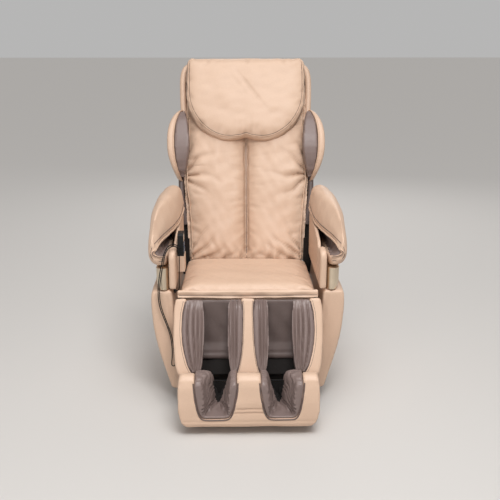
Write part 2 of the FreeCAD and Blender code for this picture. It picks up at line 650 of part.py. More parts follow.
# ---------------------------------------------------------------- foot rest
def make_foot_shell():
    """The foot rest: a block with a well for each foot, open at the top and front."""
    side = [("toe_y", "foot_low + 22"), ("toe_y + 16", "foot_low"), ("foot_rear - 20", "foot_low"),
            ("foot_rear", "foot_low + 20"), ("foot_rear", "120"), ("-478", "150"),
            ("-497", "190"), ("toe_top_y + 30", "foot_top"), ("toe_top_y", "foot_top - 12")]
    block = prism("foot_block", "x", side, "0 - foot_half", "foot_half")
    face = [("0 - foot_low_half", "foot_low"), ("foot_low_half", "foot_low"),
            ("foot_half", "foot_low + 60"), ("foot_half - 8", "foot_top + 5"),
            ("8 - foot_half", "foot_top + 5"), ("0 - foot_half", "foot_low + 60")]
    whole = common("foot_whole", block, prism("foot_face", "y", face, "-700", "-300"))
    wells = [well_block(sign, "0", "sole_z") for sign in (-1, 1)]
    return cut("foot_cut", whole, fuse("foot_wells", wells))


def well_block(sign, inset, floor):
    """The space of one foot well, drawn in by an inset on its walls."""
    corner = [(f"well_top_in + {inset}", "foot_top + 20"), (f"well_low_in + {inset}", f"{floor} + 14"),
              (f"well_low_in + {inset} + 12", floor), (f"well_low_out - {inset} - 12", floor),
              (f"well_low_out - {inset}", f"{floor} + 14"),
              (f"well_top_out - {inset}", "foot_top + 20")]
    flip = "" if sign > 0 else "0 - "
    face = [(f"{flip}({across})", up) for across, up in corner]
    return prism("well_space", "y", face, "toe_y - 20", f"well_rear - {inset} / 2")


def make_foot_liner():
    """The airbag lining of one foot well: two walls, a heel and a sole."""
    outer = well_block(1, "0.5", "sole_z + 0.5")
    inner = well_block(1, "lining", "sole_z + 14")
    trim = [("toe_y + 6", "sole_z"), ("well_rear", "sole_z"), ("well_rear", "130"), ("-480", "158"),
            ("-499", "192"), ("toe_top_y + 34", "foot_top - 4"), ("toe_top_y + 6", "foot_top - 14")]
    walls = common("liner_block", outer, prism("liner_side", "x", trim, "0", "300"))
    return cut("liner_cut", walls, inner)


def make_slide_rods():
    """The two rods that carry the foot rest in the leg rest."""
    rods = []
    for x in ("rod_x", "0 - rod_x"):
        rods.append(rod("slide_rod", "rod_radius", "z", "calf_foot - 30", "-60", x, "48"))
    group = doc.addObject("Part::Compound", "slide_rod_pair")
    group.Links = rods
    return lean(group, "calf")


# ---------------------------------------------------------------- handset and its lead
KEY_PLACES = {"start": (-236, 598), "stop": (-214, 598), "up": (-236, 578), "down": (-214, 578)}


def make_handset_case():
    """The remote control's case, with a window recess and a hole for each key."""
    face = [("handset_front", "handset_low"), ("handset_rear", "handset_low"),
            ("handset_rear", "handset_high"), ("handset_front", "handset_high")]
    body = prism("handset_body", "x", face, "0 - handset_out", "0 - handset_in")
    soften(body, "9", "x")
    window = [("-249", "612"), ("-201", "612"), ("-201", "638"), ("-249", "638")]
    pocket(body, "x", window, "0 - handset_in - 1.5", "1 - handset_in")
    for across, up in KEY_PLACES.values():
        hole = [(f"{across} - 8.3", f"{up} - 6.3"), (f"{across} + 8.3", f"{up} - 6.3"),
                (f"{across} + 8.3", f"{up} + 6.3"), (f"{across} - 8.3", f"{up} + 6.3")]
        pocket(body, "x", hole, "0 - handset_in - 4", "1 - handset_in")
    return body


def make_handset_display():
    """The window of the remote control."""
    return box("display_glass", ("0 - handset_in - 1.5", "0 - handset_in - 0.2"), ("-248.8", "-201.2"),
               ("612.2", "637.8"))


def make_handset_key(place):
    """One key, standing proud of the case by its travel and a little more."""
    across, up = place
    return box("key_cap", ("0 - handset_in - 2.8", "1.6 - handset_in"),
               (f"{across} - 8", f"{across} + 8"), (f"{up} - 6", f"{up} + 6"))


def make_handset_pocket():
    """The open-bottomed holder on the inside of the arm."""
    outer = box("pocket_outer", ("0 - arm_in", "3 - handset_in"),
                ("handset_front - 4", "handset_rear + 4"), ("500", "560"))
    inner = box("pocket_inner", ("0 - handset_out - 0.5", "0.5 - handset_in"),
                ("handset_front - 0.5", "handset_rear + 0.5"), ("handset_low - 0.5", "570"))
    drain = box("pocket_drain", ("-256", "-246"), ("-240", "-210"), ("490", "530"))
    return cut("pocket_cut", outer, fuse("pocket_void", [inner, drain]))


# from the grommet, up beside the post, over it, down in a long narrow bight and back to the handset
LEAD_ROUTE = [
    (-271, -265, 425), (-263, -266, 428), (-259, -268, 438), (-258, -272, 456), (-257, -277, 485),
    (-256, -282, 520), (-254, -287, 555), (-254, -292, 585), (-258, -297, 604), (-268, -303, 613),
    (-281, -316, 614), (-292, -331, 609), (-300, -342, 595), (-306, -346, 568), (-315, -346, 525),
    (-323, -345, 480), (-326, -344, 438), (-323, -344, 397), (-313, -344, 361), (-300, -344, 323),
    (-288, -344, 286), (-281.5, -344, 249), (-279, -344, 212), (-277.5, -344, 182),
    (-275.5, -344, 164), (-276.5, -344, 155), (-282, -344, 151), (-288, -344, 154),
    (-289.5, -344, 163), (-287, -344, 182), (-285, -344, 212), (-287, -344, 251),
    (-293.5, -344, 289),
    (-305.5, -344, 325), (-318.5, -344, 362), (-328.5, -344, 398), (-331.5, -344, 438),
    (-328.5, -345, 481), (-321, -346, 526), (-312, -347, 568), (-304, -344, 598),
    (-294, -330, 616), (-281, -312, 621), (-268, -297, 618), (-258, -283, 606),
    (-252, -270, 592), (-251, -255, 585)]


def lead_path(route):
    """Straight runs joined by tangent arcs, each as large as its two runs allow."""
    points = [Vector(*place) for place in route]
    edges, radii = [], []
    start = points[0]
    for before, corner, after in zip(points, points[1:], points[2:]):
        into, away = (corner - before), (after - corner)
        half = into.getAngle(away) / 2
        reach = 0.45 * min(into.Length, away.Length)
        radii.append(reach / math.tan(half))
        into.normalize()
        away.normalize()
        first, last = corner - into * reach, corner + away * reach
        bulge = (away - into).normalize() * (radii[-1] / math.cos(half) - radii[-1])
        edges.append(Part.LineSegment(start, first).toShape())
        edges.append(Part.Arc(first, corner + bulge, last).toShape())
        start = last
    edges.append(Part.LineSegment(start, points[-1]).toShape())
    print("lead radii:", " ".join(f"{radius:.0f}" for radius in radii))
    return Part.Wire(edges)


def make_lead():
    """The handset's lead, one round tube from the grommet to the handset."""
    radius = size("lead") / 2
    path = lead_path(LEAD_ROUTE)
    first, second = Vector(*LEAD_ROUTE[0]), Vector(*LEAD_ROUTE[1])
    section = Part.Wire(Part.makeCircle(radius, first, second - first))
    tube = path.makePipeShell([section], True, False)
    wanted = math.pi * radius ** 2 * path.Length
    print(f"lead length {path.Length:.0f} mm, volume ratio {tube.Volume / wanted:.4f}")
    piece = doc.addObject("Part::Feature", "lead_tube")
    piece.Shape = tube
    return piece


def make_grommet():
    """The rubber grommet in the side skirt that the lead comes out of."""
    ring = rod("grommet_ring", "7", "x", "-286", "-271", "-265", "425")
    return ring


# ---------------------------------------------------------------- the whole chair
def build():
    """Make every sub-part and label it."""
    keep("base_frame", cut_frame())
    keep("pivot_pins", make_pivot_pins())
    keep("levelling_feet", make_feet())
    keep("seat_pan", box("pan", ("-250", "250"), ("seat_front + 14", "60"),
                         ("seat_under - pan_thick", "seat_under - 0.5")))
    keep("seat_cushion", make_seat_cushion())
    keep("seat_front_flap", make_seat_flap())
    pairs = {"rear_wheel": make_wheel, "side_skirt": make_skirt, "arm_post": make_arm_post,
             "trim_panel": make_trim, "arm_inner_panel": make_inner_panel,
             "arm_hood": make_arm_hood, "arm_airbag": make_arm_airbag,
             "wing_shell": make_wing_shell, "wing_airbag": make_wing_airbag,
             "kneading_arm": make_kneading_arm, "calf_airbags": make_calf_airbags,
             "foot_liner": make_foot_liner,
             "lower_roller": lambda: make_roller("carriage_z - knead_reach"),
             "upper_roller": lambda: make_roller("carriage_z + knead_reach")}
    for name, make in pairs.items():
        right = keep(name + "_right", make())
        mirror(name + "_left", right)
    keep("rear_base_cover", make_rear_cover())
    keep("power_inlet", make_power_inlet())
    keep("power_switch", make_power_switch())
    keep("air_pump", make_air_pump())
    keep("control_box", make_control_box())
    for drive in ("back", "leg"):
        keep(f"{drive}_actuator_body", make_drive_body(f"{drive}_drive"))
        keep(f"{drive}_actuator_rod", make_drive_rod(f"{drive}_drive"))
    keep("back_frame", make_back_frame())
    keep("back_shell", make_back_shell())
    keep("back_pad", make_back_pad())
    keep("head_pillow", make_pillow())
    keep("massage_carriage", make_carriage())
    keep("calf_shell", make_calf_shell())
    keep("foot_shell", make_foot_shell())
    keep("foot_slide_rods", make_slide_rods())
    keep("handset_case", make_handset_case())
    keep("handset_display", make_handset_display())
    for name, place in KEY_PLACES.items():
        keep(f"handset_key_{name}", make_handset_key(place))
    keep("handset_pocket", make_handset_pocket())
    keep("cord_grommet", make_grommet())
    keep("handset_cord", make_lead())


def cut_frame():
    """The chassis with the bores of its hinge pins."""
    bores = [rod("frame_calf_bore", "6", "x", "-270", "270", "calf_y", "calf_z"),
             rod("frame_recline_bore", "8", "x", "-240", "240", "recline_y", "recline_z"),
             rod("frame_wheel_bore", "5", "x", "-208", "208", "wheel_y", "wheel_z")]
    for drive in ("back_drive", "leg_drive"):
        bores.append(rod("frame_drive_bore", "5", "x", f"{drive}_x - 40", f"{drive}_x + 40",
                         f"{drive}_y", f"{drive}_z"))
    return cut("base_frame_cut", make_base_frame(), fuse("frame_bores", bores))


def export():
    """Check every object and write each sub-part to its own file."""
    doc.recompute()
    failed = [item.Name for item in doc.Objects if {"Invalid", "Error"} & set(item.State)]
    if failed:
        raise RuntimeError(f"failed objects: {failed}")
    for name, piece in nodes.items():
        if piece.Shape.isNull() or not piece.Shape.isValid() or not piece.Shape.Solids:
            raise RuntimeError(f"{name} has no valid solid")
    os.makedirs("parts", exist_ok=True)
    whole = FreeCAD.BoundBox()
    for name, piece in nodes.items():
        piece.Shape.exportStep(f"parts/{name}.step")
        if name != "handset_cord":
            whole.add(piece.Shape.optimalBoundingBox())
    print(f"{len(nodes)} sub-parts, x {whole.XMin:.1f}..{whole.XMax:.1f}, "
          f"y {whole.YMin:.1f}..{whole.YMax:.1f}, z {whole.ZMin:.1f}..{whole.ZMax:.1f}")


build()
export()
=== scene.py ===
"""The looks of a massage chair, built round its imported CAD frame. Metres, the chair faces -Y."""

import json
import logging
import math
from dataclasses import dataclass, field
from enum import Enum
from typing import Callable, Sequence

import bmesh
import bpy
import numpy as np
from mathutils import Matrix, Vector
from mathutils.bvhtree import BVHTree


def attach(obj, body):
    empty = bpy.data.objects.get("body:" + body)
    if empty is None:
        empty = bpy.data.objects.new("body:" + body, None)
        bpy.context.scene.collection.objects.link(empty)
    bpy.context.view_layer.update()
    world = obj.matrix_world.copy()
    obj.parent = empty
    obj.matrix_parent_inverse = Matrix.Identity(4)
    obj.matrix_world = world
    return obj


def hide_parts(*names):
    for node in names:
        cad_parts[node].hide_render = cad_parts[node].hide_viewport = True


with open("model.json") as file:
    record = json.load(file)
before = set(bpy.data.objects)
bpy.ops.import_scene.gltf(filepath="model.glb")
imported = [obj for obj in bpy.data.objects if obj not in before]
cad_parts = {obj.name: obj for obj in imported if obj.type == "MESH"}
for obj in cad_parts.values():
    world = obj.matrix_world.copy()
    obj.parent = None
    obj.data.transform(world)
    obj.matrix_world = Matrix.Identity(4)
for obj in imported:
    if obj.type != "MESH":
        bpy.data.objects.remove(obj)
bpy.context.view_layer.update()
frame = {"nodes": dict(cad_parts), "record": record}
log = logging.getLogger("chair")

Point = tuple[float, float, float]
Flat = tuple[float, float]
Array = np.ndarray
Field = Callable[[Array, Array], Array]

SHARP_ANGLE = math.radians(48)
SENSOR_WIDTH = 36
FLOOR_SIZE = 40
WALL_COLOUR = (0.94, 0.935, 0.93, 1)
FLOOR_COLOUR = (0.60, 0.575, 0.55, 1)
FINE_GRAIN = 700.0
PIPING_GRAIN = 900.0


# ================================================================ the frame's own places
def joint(name: str) -> dict:
    """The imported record's joint of that name."""
    return next(item for item in frame["record"]["behaviour"]["joints"] if item["name"] == name)


def leaning(hinge: str, slide: str, sense: float) -> Matrix:
    """The upright axes of a leaning unit, from its hinge and the slide that runs along it.

    Args:
        hinge: the joint whose place is the origin.
        slide: the joint whose axis is the unit's own up or down.
        sense: 1 where the slide's axis points up the unit, -1 where it points down.

    Returns:
        The matrix from the unit's own axes to the chair's.
    """
    axis = Vector(joint(slide)["axis"]) * sense
    tilt = math.atan2(axis.y, axis.z)
    return Matrix.Translation(joint(hinge)["pos_m"]) @ Matrix.Rotation(-tilt, 4, "X")


BACK = leaning("recline", "carriage_travel", 1)
LEG = leaning("leg_lift", "foot_reach", -1)
CHAIR = Matrix.Identity(4)
AXES = {"backrest": BACK, "pillow": BACK, "leg_rest": LEG}
MIRROR = Matrix.Scale(-1, 4, (1, 0, 0))


class Side(Enum):
    """A side of the chair, seen from its front."""

    LEFT = -1
    RIGHT = 1

    @property
    def word(self) -> str:
        """The side's word in the names of pieces."""
        return self.name.lower()


class Slot(Enum):
    """The record's material slots."""

    CREAM = "cream_leather"
    TAUPE = "taupe_leather"
    CHAMPAGNE = "champagne_metal"
    PAINT = "frame_paint"
    STEEL = "bright_steel"
    BLACK = "black_plastic"
    KEY = "key_plastic"
    GLASS = "display_glass"
    RUBBER = "foot_rubber"
    JACKET = "cord_jacket"
    NYLON = "roller_plastic"
    PLY = "plywood"


class Trim(Enum):
    """The finishes of small parts that have no slot of their own. The last two are painted shade: a
    near-black, and the taupe darkened, laid where gaps and hollows fall into shadow.
    """

    PIPING = "piping_leather"
    DARK = "dark_piping"
    SHADE = "shade_cloth"
    DEEP = "deep_taupe"


Look = Slot | Trim
LOOKS: dict[Look, bpy.types.Material] = {}


# ================================================================ shader maths
class Value:
    """A shader socket that takes part in Python expressions."""

    def __init__(self, shader: "Shader", socket: bpy.types.NodeSocket) -> None:
        """Wrap one output socket of a shader."""
        self.shader = shader
        self.socket = socket

    def maths(self, operation: str, *others: "Value | float") -> "Value":
        """A Math node on this value and up to two others."""
        values = {index: item for index, item in enumerate((self, *others))}
        return self.shader.node("ShaderNodeMath", {"operation": operation}, values)

    def __add__(self, other: "Value | float") -> "Value":
        """Sum."""
        return self.maths("ADD", other)

    __radd__ = __add__

    def __sub__(self, other: "Value | float") -> "Value":
        """Difference."""
        return self.maths("SUBTRACT", other)

    def __rsub__(self, other: float) -> "Value":
        """Difference from a number."""
        return (self * -1.0) + other

    def __mul__(self, other: "Value | float") -> "Value":
        """Product."""
        return self.maths("MULTIPLY", other)

    __rmul__ = __mul__


class Shader:
    """A material's node tree, with one method for every kind of node."""

    def __init__(self, name: str) -> None:
        """Start a material with its own Principled shader."""
        self.material = bpy.data.materials.new(name)
        self.material.use_nodes = True
        self.tree = self.material.node_tree
        self.surface = self.tree.nodes["Principled BSDF"]

    def node(self, kind: str, settings: dict | None = None, sockets: dict | None = None,
             output: str | int = 0) -> Value:
        """Add a node.

        Args:
            kind: the node's type.
            settings: properties set before its sockets.
            sockets: values or links of its inputs, by name or number.
            output: which output to return.

        Returns:
            The chosen output.
        """
        item = self.tree.nodes.new(kind)
        for name, setting in (settings or {}).items():
            setattr(item, name, setting)
        for name, value in (sockets or {}).items():
            self.feed(item.inputs[name], value)
        return Value(self, item.outputs[output])

    def feed(self, socket: bpy.types.NodeSocket, value: object) -> None:
        """Link a value to an input, or set it."""
        if isinstance(value, Value):
            self.tree.links.new(value.socket, socket)
        else:
            socket.default_value = value

    def set(self, **inputs: object) -> None:
        """Feed the Principled shader's inputs, spaces in a name written as _."""
        for name, value in inputs.items():
            self.feed(self.surface.inputs[name.replace("_", " ")], value)

    def place(self) -> Value:
        """The piece's own coordinates, in metres."""
        return self.node("ShaderNodeTexCoord", output="Object")

    def noise(self, scale: float, detail: float = 3.0, stretch: Point = (1, 1, 1)) -> Value:
        """Fractal noise on the piece's own coordinates, from 0 to 1."""
        spot = self.node("ShaderNodeMapping", {}, {"Vector": self.place(), "Scale": stretch})
        return self.node("ShaderNodeTexNoise", {}, {"Vector": spot, "Scale": scale,
                                                    "Detail": detail})

    def pebble(self, scale: float) -> Value:
        """Rounded cells, as in pressed leather grain: 0 in their middles."""
        return self.node("ShaderNodeTexVoronoi", {"feature": "SMOOTH_F1"},
                         {"Vector": self.place(), "Scale": scale, "Smoothness": 0.4})

    def mix(self, amount: Value | float, first: object, second: object) -> Value:
        """Blend two colours."""
        return self.node("ShaderNodeMix", {"data_type": "RGBA"},
                         {"Factor": amount, 6: first, 7: second}, output=2)

    def bump(self, height: Value, distance: float, strength: float = 1.0,
             under: Value | None = None) -> Value:
        """A normal from a height, in metres at a height of 1."""
        sockets = {"Height": height, "Distance": distance, "Strength": strength}
        if under is not None:
            sockets["Normal"] = under
        return self.node("ShaderNodeBump", {}, sockets)


def rgba(colour: Sequence[float], scale: float = 1.0, plus: float = 0.0) -> tuple[float, ...]:
    """A colour with full alpha, scaled and then raised."""
    return (*(part * scale + plus for part in colour), 1.0)


# ================================================================ finishes
@dataclass(frozen=True)
class Leather:
    """Upholstery leatherette: pressed grain, faint mottling, a soft uneven gloss, with painted
    shade in the grain's valleys and in its creases.
    """

    colour: tuple[float, float, float]
    deep: tuple[float, float, float]
    rough: float
    grain: float = 520.0
    relief: float = 0.00022
    # how strongly the painted crease shade darkens the colour where the fold attribute marks a
    # crease
    crease: float = 0.75

    def make(self, name: str) -> bpy.types.Material:
        """Build the material."""
        shader = Shader(name)
        cloud = shader.noise(5.0, 2.0)
        fleck = shader.noise(160.0, 2.0)
        tone = cloud * 0.55 + fleck * 0.45
        pores = shader.pebble(self.grain)
        creased = shader.noise(38.0, 5.0, (1.0, 1.0, 1.6))
        base = shader.mix(tone, rgba(self.colour), rgba(self.deep))
        # Painted shade in creases: the colour darkens towards hollow, a much deeper tone, where the
        # fold attribute marks one.
        hollow = tuple(part * tint for part, tint in zip(self.deep, (0.42, 0.34, 0.28)))
        fold = shader.node("ShaderNodeAttribute", {"attribute_name": "fold"}, output="Fac")
        # Painted shade in the grain: the valleys between its pebbles are darker.
        worn = shader.mix(pores * 0.35, base, rgba(self.deep, 0.82))
        shader.set(Base_Color=shader.mix(fold * self.crease, worn, rgba(hollow)),
                   Roughness=(fleck - 0.5) * 0.16 + (pores * 0.12) + (self.rough - 0.04))
        soft = shader.bump(creased, 0.0009, 0.35)
        shader.set(Normal=shader.bump(1.0 - pores, self.relief, 0.8, soft))
        shader.surface.inputs["Specular IOR Level"].default_value = 0.42
        return shader.material


@dataclass(frozen=True)
class Metal:
    """A brushed or painted metal with fine directional marks."""

    colour: tuple[float, float, float]
    rough: float
    metallic: float = 1.0
    brush: Point = (1.0, 1.0, 0.02)
    coat: float = 0.0

    def make(self, name: str) -> bpy.types.Material:
        """Build the material."""
        shader = Shader(name)
        lines = shader.noise(900.0, 3.0, self.brush)
        cloud = shader.noise(12.0, 3.0)
        shader.set(Base_Color=shader.mix(cloud * 0.6 + lines * 0.2, rgba(self.colour),
                                         rgba(self.colour, 0.86)),
                   Roughness=(lines - 0.5) * 0.14 + (cloud - 0.5) * 0.1 + self.rough,
                   Normal=shader.bump(lines, 0.00004, 0.5))
        shader.surface.inputs["Metallic"].default_value = self.metallic
        shader.surface.inputs["Coat Weight"].default_value = self.coat
        return shader.material


@dataclass(frozen=True)
class Plastic:
    """A moulded plastic or rubber with spark texture and handling wear."""

    colour: tuple[float, float, float]
    rough: float
    texture: float = 1400.0
    relief: float = 0.00005
    gloss: float = 0.22

    def make(self, name: str) -> bpy.types.Material:
        """Build the material."""
        shader = Shader(name)
        spark = shader.noise(self.texture, 2.0)
        cloud = shader.noise(18.0, 4.0)
        shader.set(Base_Color=shader.mix(cloud, rgba(self.colour), rgba(self.colour, 0.8, 0.012)),
                   Roughness=(spark - 0.5) * 0.12 + (cloud - 0.5) * 0.14 + self.rough,
                   Normal=shader.bump(spark, self.relief, 0.6))
        shader.surface.inputs["Specular IOR Level"].default_value = self.gloss
        return shader.material


@dataclass(frozen=True)
class Glass:
    """The dark window of the handset, with the faint light of a lit display painted into its
    colour.
    """

    colour: tuple[float, float, float]

    def make(self, name: str) -> bpy.types.Material:
        """Build the material."""
        shader = Shader(name)
        cloud = shader.noise(60.0, 2.0)
        # Painted light: the colour is lighter in cloudy patches, for the display's faint glow.
        shader.set(Base_Color=shader.mix(cloud, rgba(self.colour), rgba(self.colour, 1.8, 0.02)),
                   Roughness=cloud * 0.08 + 0.06)
        shader.surface.inputs["Coat Weight"].default_value = 0.6
        return shader.material


@dataclass(frozen=True)
class Ply:
    """Plain plywood with long grain."""

    colour: tuple[float, float, float]

    def make(self, name: str) -> bpy.types.Material:
        """Build the material."""
        shader = Shader(name)
        streak = shader.noise(30.0, 6.0, (1.0, 8.0, 8.0))
        shader.set(Base_Color=shader.mix(streak, rgba(self.colour), rgba(self.colour, 0.62)),
                   Roughness=streak * 0.2 + 0.5, Normal=shader.bump(streak, 0.0002, 0.5))
        return shader.material


FINISHES = {
    Slot.CREAM: Leather((0.72, 0.515, 0.385), (0.64, 0.44, 0.315), 0.44),
    Slot.TAUPE: Leather((0.255, 0.190, 0.173), (0.200, 0.145, 0.131), 0.40, FINE_GRAIN, 0.00014,
                        0.8),
    Slot.CHAMPAGNE: Metal((0.78, 0.655, 0.50), 0.33),
    Slot.PAINT: Metal((0.02, 0.02, 0.022), 0.45, 0.0, (1, 1, 1), 0.2),
    Slot.STEEL: Metal((0.55, 0.56, 0.58), 0.28),
    Slot.BLACK: Plastic((0.007, 0.007, 0.007), 0.50),
    Slot.KEY: Plastic((0.10, 0.14, 0.21), 0.35),
    Slot.GLASS: Glass((0.02, 0.035, 0.06)),
    Slot.RUBBER: Plastic((0.016, 0.016, 0.016), 0.7, 700.0, 0.0001),
    Slot.JACKET: Plastic((0.005, 0.005, 0.005), 0.60),
    Slot.NYLON: Plastic((0.68, 0.64, 0.56), 0.32),
    Slot.PLY: Ply((0.62, 0.43, 0.25)),
    Trim.PIPING: Leather((0.70, 0.49, 0.36), (0.58, 0.39, 0.27), 0.4, PIPING_GRAIN, 0.0001),
    Trim.DARK: Leather((0.16, 0.11, 0.098), (0.11, 0.075, 0.066), 0.5, PIPING_GRAIN, 0.0001),
    # Painted shade: a near-black for gaps and hollows in shadow, and the taupe darkened for walls
    # in deep shade.
    Trim.SHADE: Leather((0.014, 0.010, 0.009), (0.009, 0.007, 0.006), 0.9, PIPING_GRAIN, 0.0001),
    Trim.DEEP: Leather((0.150, 0.108, 0.098), (0.112, 0.080, 0.072), 0.46, FINE_GRAIN, 0.00014),
}


def make_finishes() -> None:
    """Build every material once."""
    for look, finish in FINISHES.items():
        LOOKS[look] = finish.make(look.value)


# ================================================================ mesh work
def ripple(points: Array, length: float, seed: int, waves: int = 6) -> Array:
    """Smooth random waves through space, from about -1 to 1.

    Args:
        points: the places, one row each.
        length: the typical wavelength.
        seed: which pattern.
        waves: how many waves are added.

    Returns:
        One value for each place.
    """
    dice = np.random.RandomState(seed)
    total = np.zeros(len(points))
    for _ in range(waves):
        way = dice.normal(size=3)
        way *= (0.7 + 0.8 * dice.rand()) * 2 * math.pi / (length * np.linalg.norm(way))
        total += np.sin(points @ way + dice.rand() * 2 * math.pi)
    return total / math.sqrt(waves * 1.2)


def blend(value: float, stations: Sequence[float], sizes: Sequence[float]) -> float:
    """The size at a value, in line between the sizes at the stations."""
    return float(np.interp(value, stations, sizes))


def bell(distance: Array, width: float) -> Array:
    """A smooth bump of height 1 at distance 0."""
    return np.exp(-(distance / width) ** 2)


def step(value: Array, low: float, high: float) -> Array:
    """A smooth rise from 0 at low to 1 at high."""
    part = np.clip((value - low) / (high - low), 0, 1)
    return part * part * (3 - 2 * part)


def arc(centre: Flat, radius: float, start: float, end: float, count: int) -> list[Flat]:
    """Points along an arc, in degrees."""
    turn = np.radians(np.linspace(start, end, count))
    return [(centre[0] + radius * math.cos(a), centre[1] + radius * math.sin(a)) for a in turn]


def rounded(points: Sequence[Flat], count: int) -> list[Flat]:
    """A closed smooth line through the points, as that many even steps.

    Args:
        points: what the line passes through, in order.
        count: how many places are returned.

    Returns:
        Places along the line, at even distances.
    """
    knots = np.array(points, dtype=float)
    total = len(knots)
    fine = []
    for index in range(total):
        before, here, after, last = (knots[(index + shift) % total] for shift in (-1, 0, 1, 2))
        for part in np.linspace(0, 1, 12, endpoint=False):
            fine.append(.5 * (2 * here + (after - before) * part
                              + (2 * before - 5 * here + 4 * after - last) * part ** 2
                              + (3 * here - before - 3 * after + last) * part ** 3))
    line = np.array(fine + [fine[0]])
    run = np.concatenate([[0], np.cumsum(np.linalg.norm(np.diff(line, axis=0), axis=1))])
    even = np.linspace(0, run[-1], count, endpoint=False)
    return [(blend(far, run, line[:, 0]), blend(far, run, line[:, 1])) for far in even]


class Form:
    """A mesh being shaped, in the axes of the unit that it belongs to."""

    AXES = {"x": (1, 2, 0), "y": (0, 2, 1), "z": (0, 1, 2)}

    def __init__(self) -> None:
        """Start empty."""
        self.mesh = bmesh.new()

    def slab(self, outline: Sequence[Flat], along: str, low: float, high: float) -> "Form":
        """Add a solid: an outline drawn across an axis and extruded along it.

        Args:
            outline: corners on the other two axes, in x, y, z order.
            along: the axis it runs on.
            low: where it starts.
            high: where it ends.

        Returns:
            The form.
        """
        first, second, third = self.AXES[along]
        corners = []
        for across, up in outline:
            place = [0.0, 0.0, 0.0]
            place[first], place[second], place[third] = across, up, low
            corners.append(self.mesh.verts.new(place))
        face = self.mesh.faces.new(corners)
        grown = bmesh.ops.extrude_face_region(self.mesh, geom=[face])["geom"]
        moved = [item for item in grown if isinstance(item, bmesh.types.BMVert)]
        shift = Vector((0, 0, 0))
        shift[third] = high - low
        bmesh.ops.translate(self.mesh, verts=moved, vec=shift)
        self.mesh.faces.ensure_lookup_table()
        bmesh.ops.recalc_face_normals(self.mesh, faces=self.mesh.faces[:])
        return self

    def loft(self, rings: Sequence[Sequence[Point]]) -> "Form":
        """Add a solid skinned over closed rings of as many points each, capped at both ends."""
        rows = [[self.mesh.verts.new(place) for place in ring] for ring in rings]
        for near, far in zip(rows, rows[1:]):
            for index in range(len(near)):
                after = (index + 1) % len(near)
                self.mesh.faces.new((near[index], near[after], far[after], far[index]))
        self.mesh.faces.new(rows[0])
        self.mesh.faces.new(rows[-1])
        bmesh.ops.recalc_face_normals(self.mesh, faces=self.mesh.faces[:])
        return self

    def soften(self, width: float, segments: int = 3,
               test: Callable[[Vector, Vector], bool] | None = None) -> "Form":
        """Round the edges whose middle and direction pass a test."""
        chosen = []
        for edge in self.mesh.edges:
            start, end = (corner.co for corner in edge.verts)
            if test is None or test((start + end) / 2, (end - start).normalized()):
                chosen.append(edge)
        bmesh.ops.bevel(self.mesh, geom=chosen, offset=width, offset_type="OFFSET",
                        segments=segments, profile=0.5, affect="EDGES", material=-1,
                        clamp_overlap=True)
        return self

    def slice(self, axis: str, spots: Sequence[float]) -> "Form":
        """Cut loops of edges across the form at places along an axis."""
        normal = [1.0 if name == axis else 0.0 for name in "xyz"]
        for spot in spots:
            everything = self.mesh.verts[:] + self.mesh.edges[:] + self.mesh.faces[:]
            bmesh.ops.bisect_plane(self.mesh, geom=everything,
                                   plane_co=[part * spot for part in normal], plane_no=normal)
        return self

    def taper(self, change: Callable[[Vector], Vector]) -> "Form":
        """Move every corner by a rule."""
        for corner in self.mesh.verts:
            corner.co = change(corner.co.copy())
        return self

    def object(self, name: str) -> bpy.types.Object:
        """The form as an object of the scene."""
        data = bpy.data.meshes.new(name)
        self.mesh.to_mesh(data)
        self.mesh.free()
        return link(name, data)


def link(name: str, data: bpy.types.ID) -> bpy.types.Object:
    """A new object of the scene for the data."""
    item = bpy.data.objects.new(name, data)
    bpy.context.scene.collection.objects.link(item)
    return item


def settle(item: bpy.types.Object) -> bpy.types.Object:
    """Put the effect of the object's modifiers into its mesh."""
    depsgraph = bpy.context.evaluated_depsgraph_get()
    data = bpy.data.meshes.new_from_object(item.evaluated_get(depsgraph))
    item.modifiers.clear()
    item.data = data
    return item


def remesh(item: bpy.types.Object, voxel: float, rounds: int = 2) -> bpy.types.Object:
    """Rebuild the surface in even squares and ease its corners.

    Args:
        item: the object, whose solids may overlap.
        voxel: the size of a square.
        rounds: how many times the surface is relaxed.

    Returns:
        The same object.
    """
    modifier = item.modifiers.new("Remesh", "REMESH")
    modifier.mode = "VOXEL"
    modifier.voxel_size = voxel
    settle(item)
    if rounds:
        relax = item.modifiers.new("Relax", "SMOOTH")
        relax.factor = 0.5
        relax.iterations = rounds
        settle(item)
    return item


def carve(item: bpy.types.Object, cutter: bpy.types.Object) -> bpy.types.Object:
    """Take the cutter's space out of the object."""
    modifier = item.modifiers.new("Carve", "BOOLEAN")
    modifier.operation = "DIFFERENCE"
    modifier.solver = "EXACT"
    modifier.object = cutter
    settle(item)
    bpy.data.objects.remove(cutter)
    return item


def places(item: bpy.types.Object) -> Array:
    """Where the object's points are, one row each."""
    flat = np.empty(len(item.data.vertices) * 3)
    item.data.vertices.foreach_get("co", flat)
    return flat.reshape(-1, 3)


def normals(item: bpy.types.Object) -> Array:
    """Which way the object's points face, one row each."""
    flat = np.empty(len(item.data.vertices) * 3, dtype=np.float32)
    item.data.vertex_normals.foreach_get("vector", flat)
    return flat.reshape(-1, 3).astype(float)


def put(item: bpy.types.Object, points: Array) -> None:
    """Set where the object's points are."""
    item.data.vertices.foreach_set("co", points.astype(np.float32).ravel())
    item.data.update()


def swell(item: bpy.types.Object, amount: Field) -> bpy.types.Object:
    """Move each point along its normal by what the field says for it."""
    points, facing = places(item), normals(item)
    put(item, points + facing * amount(points, facing)[:, None])
    # The first swell also stores the fold attribute: the painted crease shade of the leather.
    if "fold" not in item.data.attributes:
        mark_folds(item)
    return item


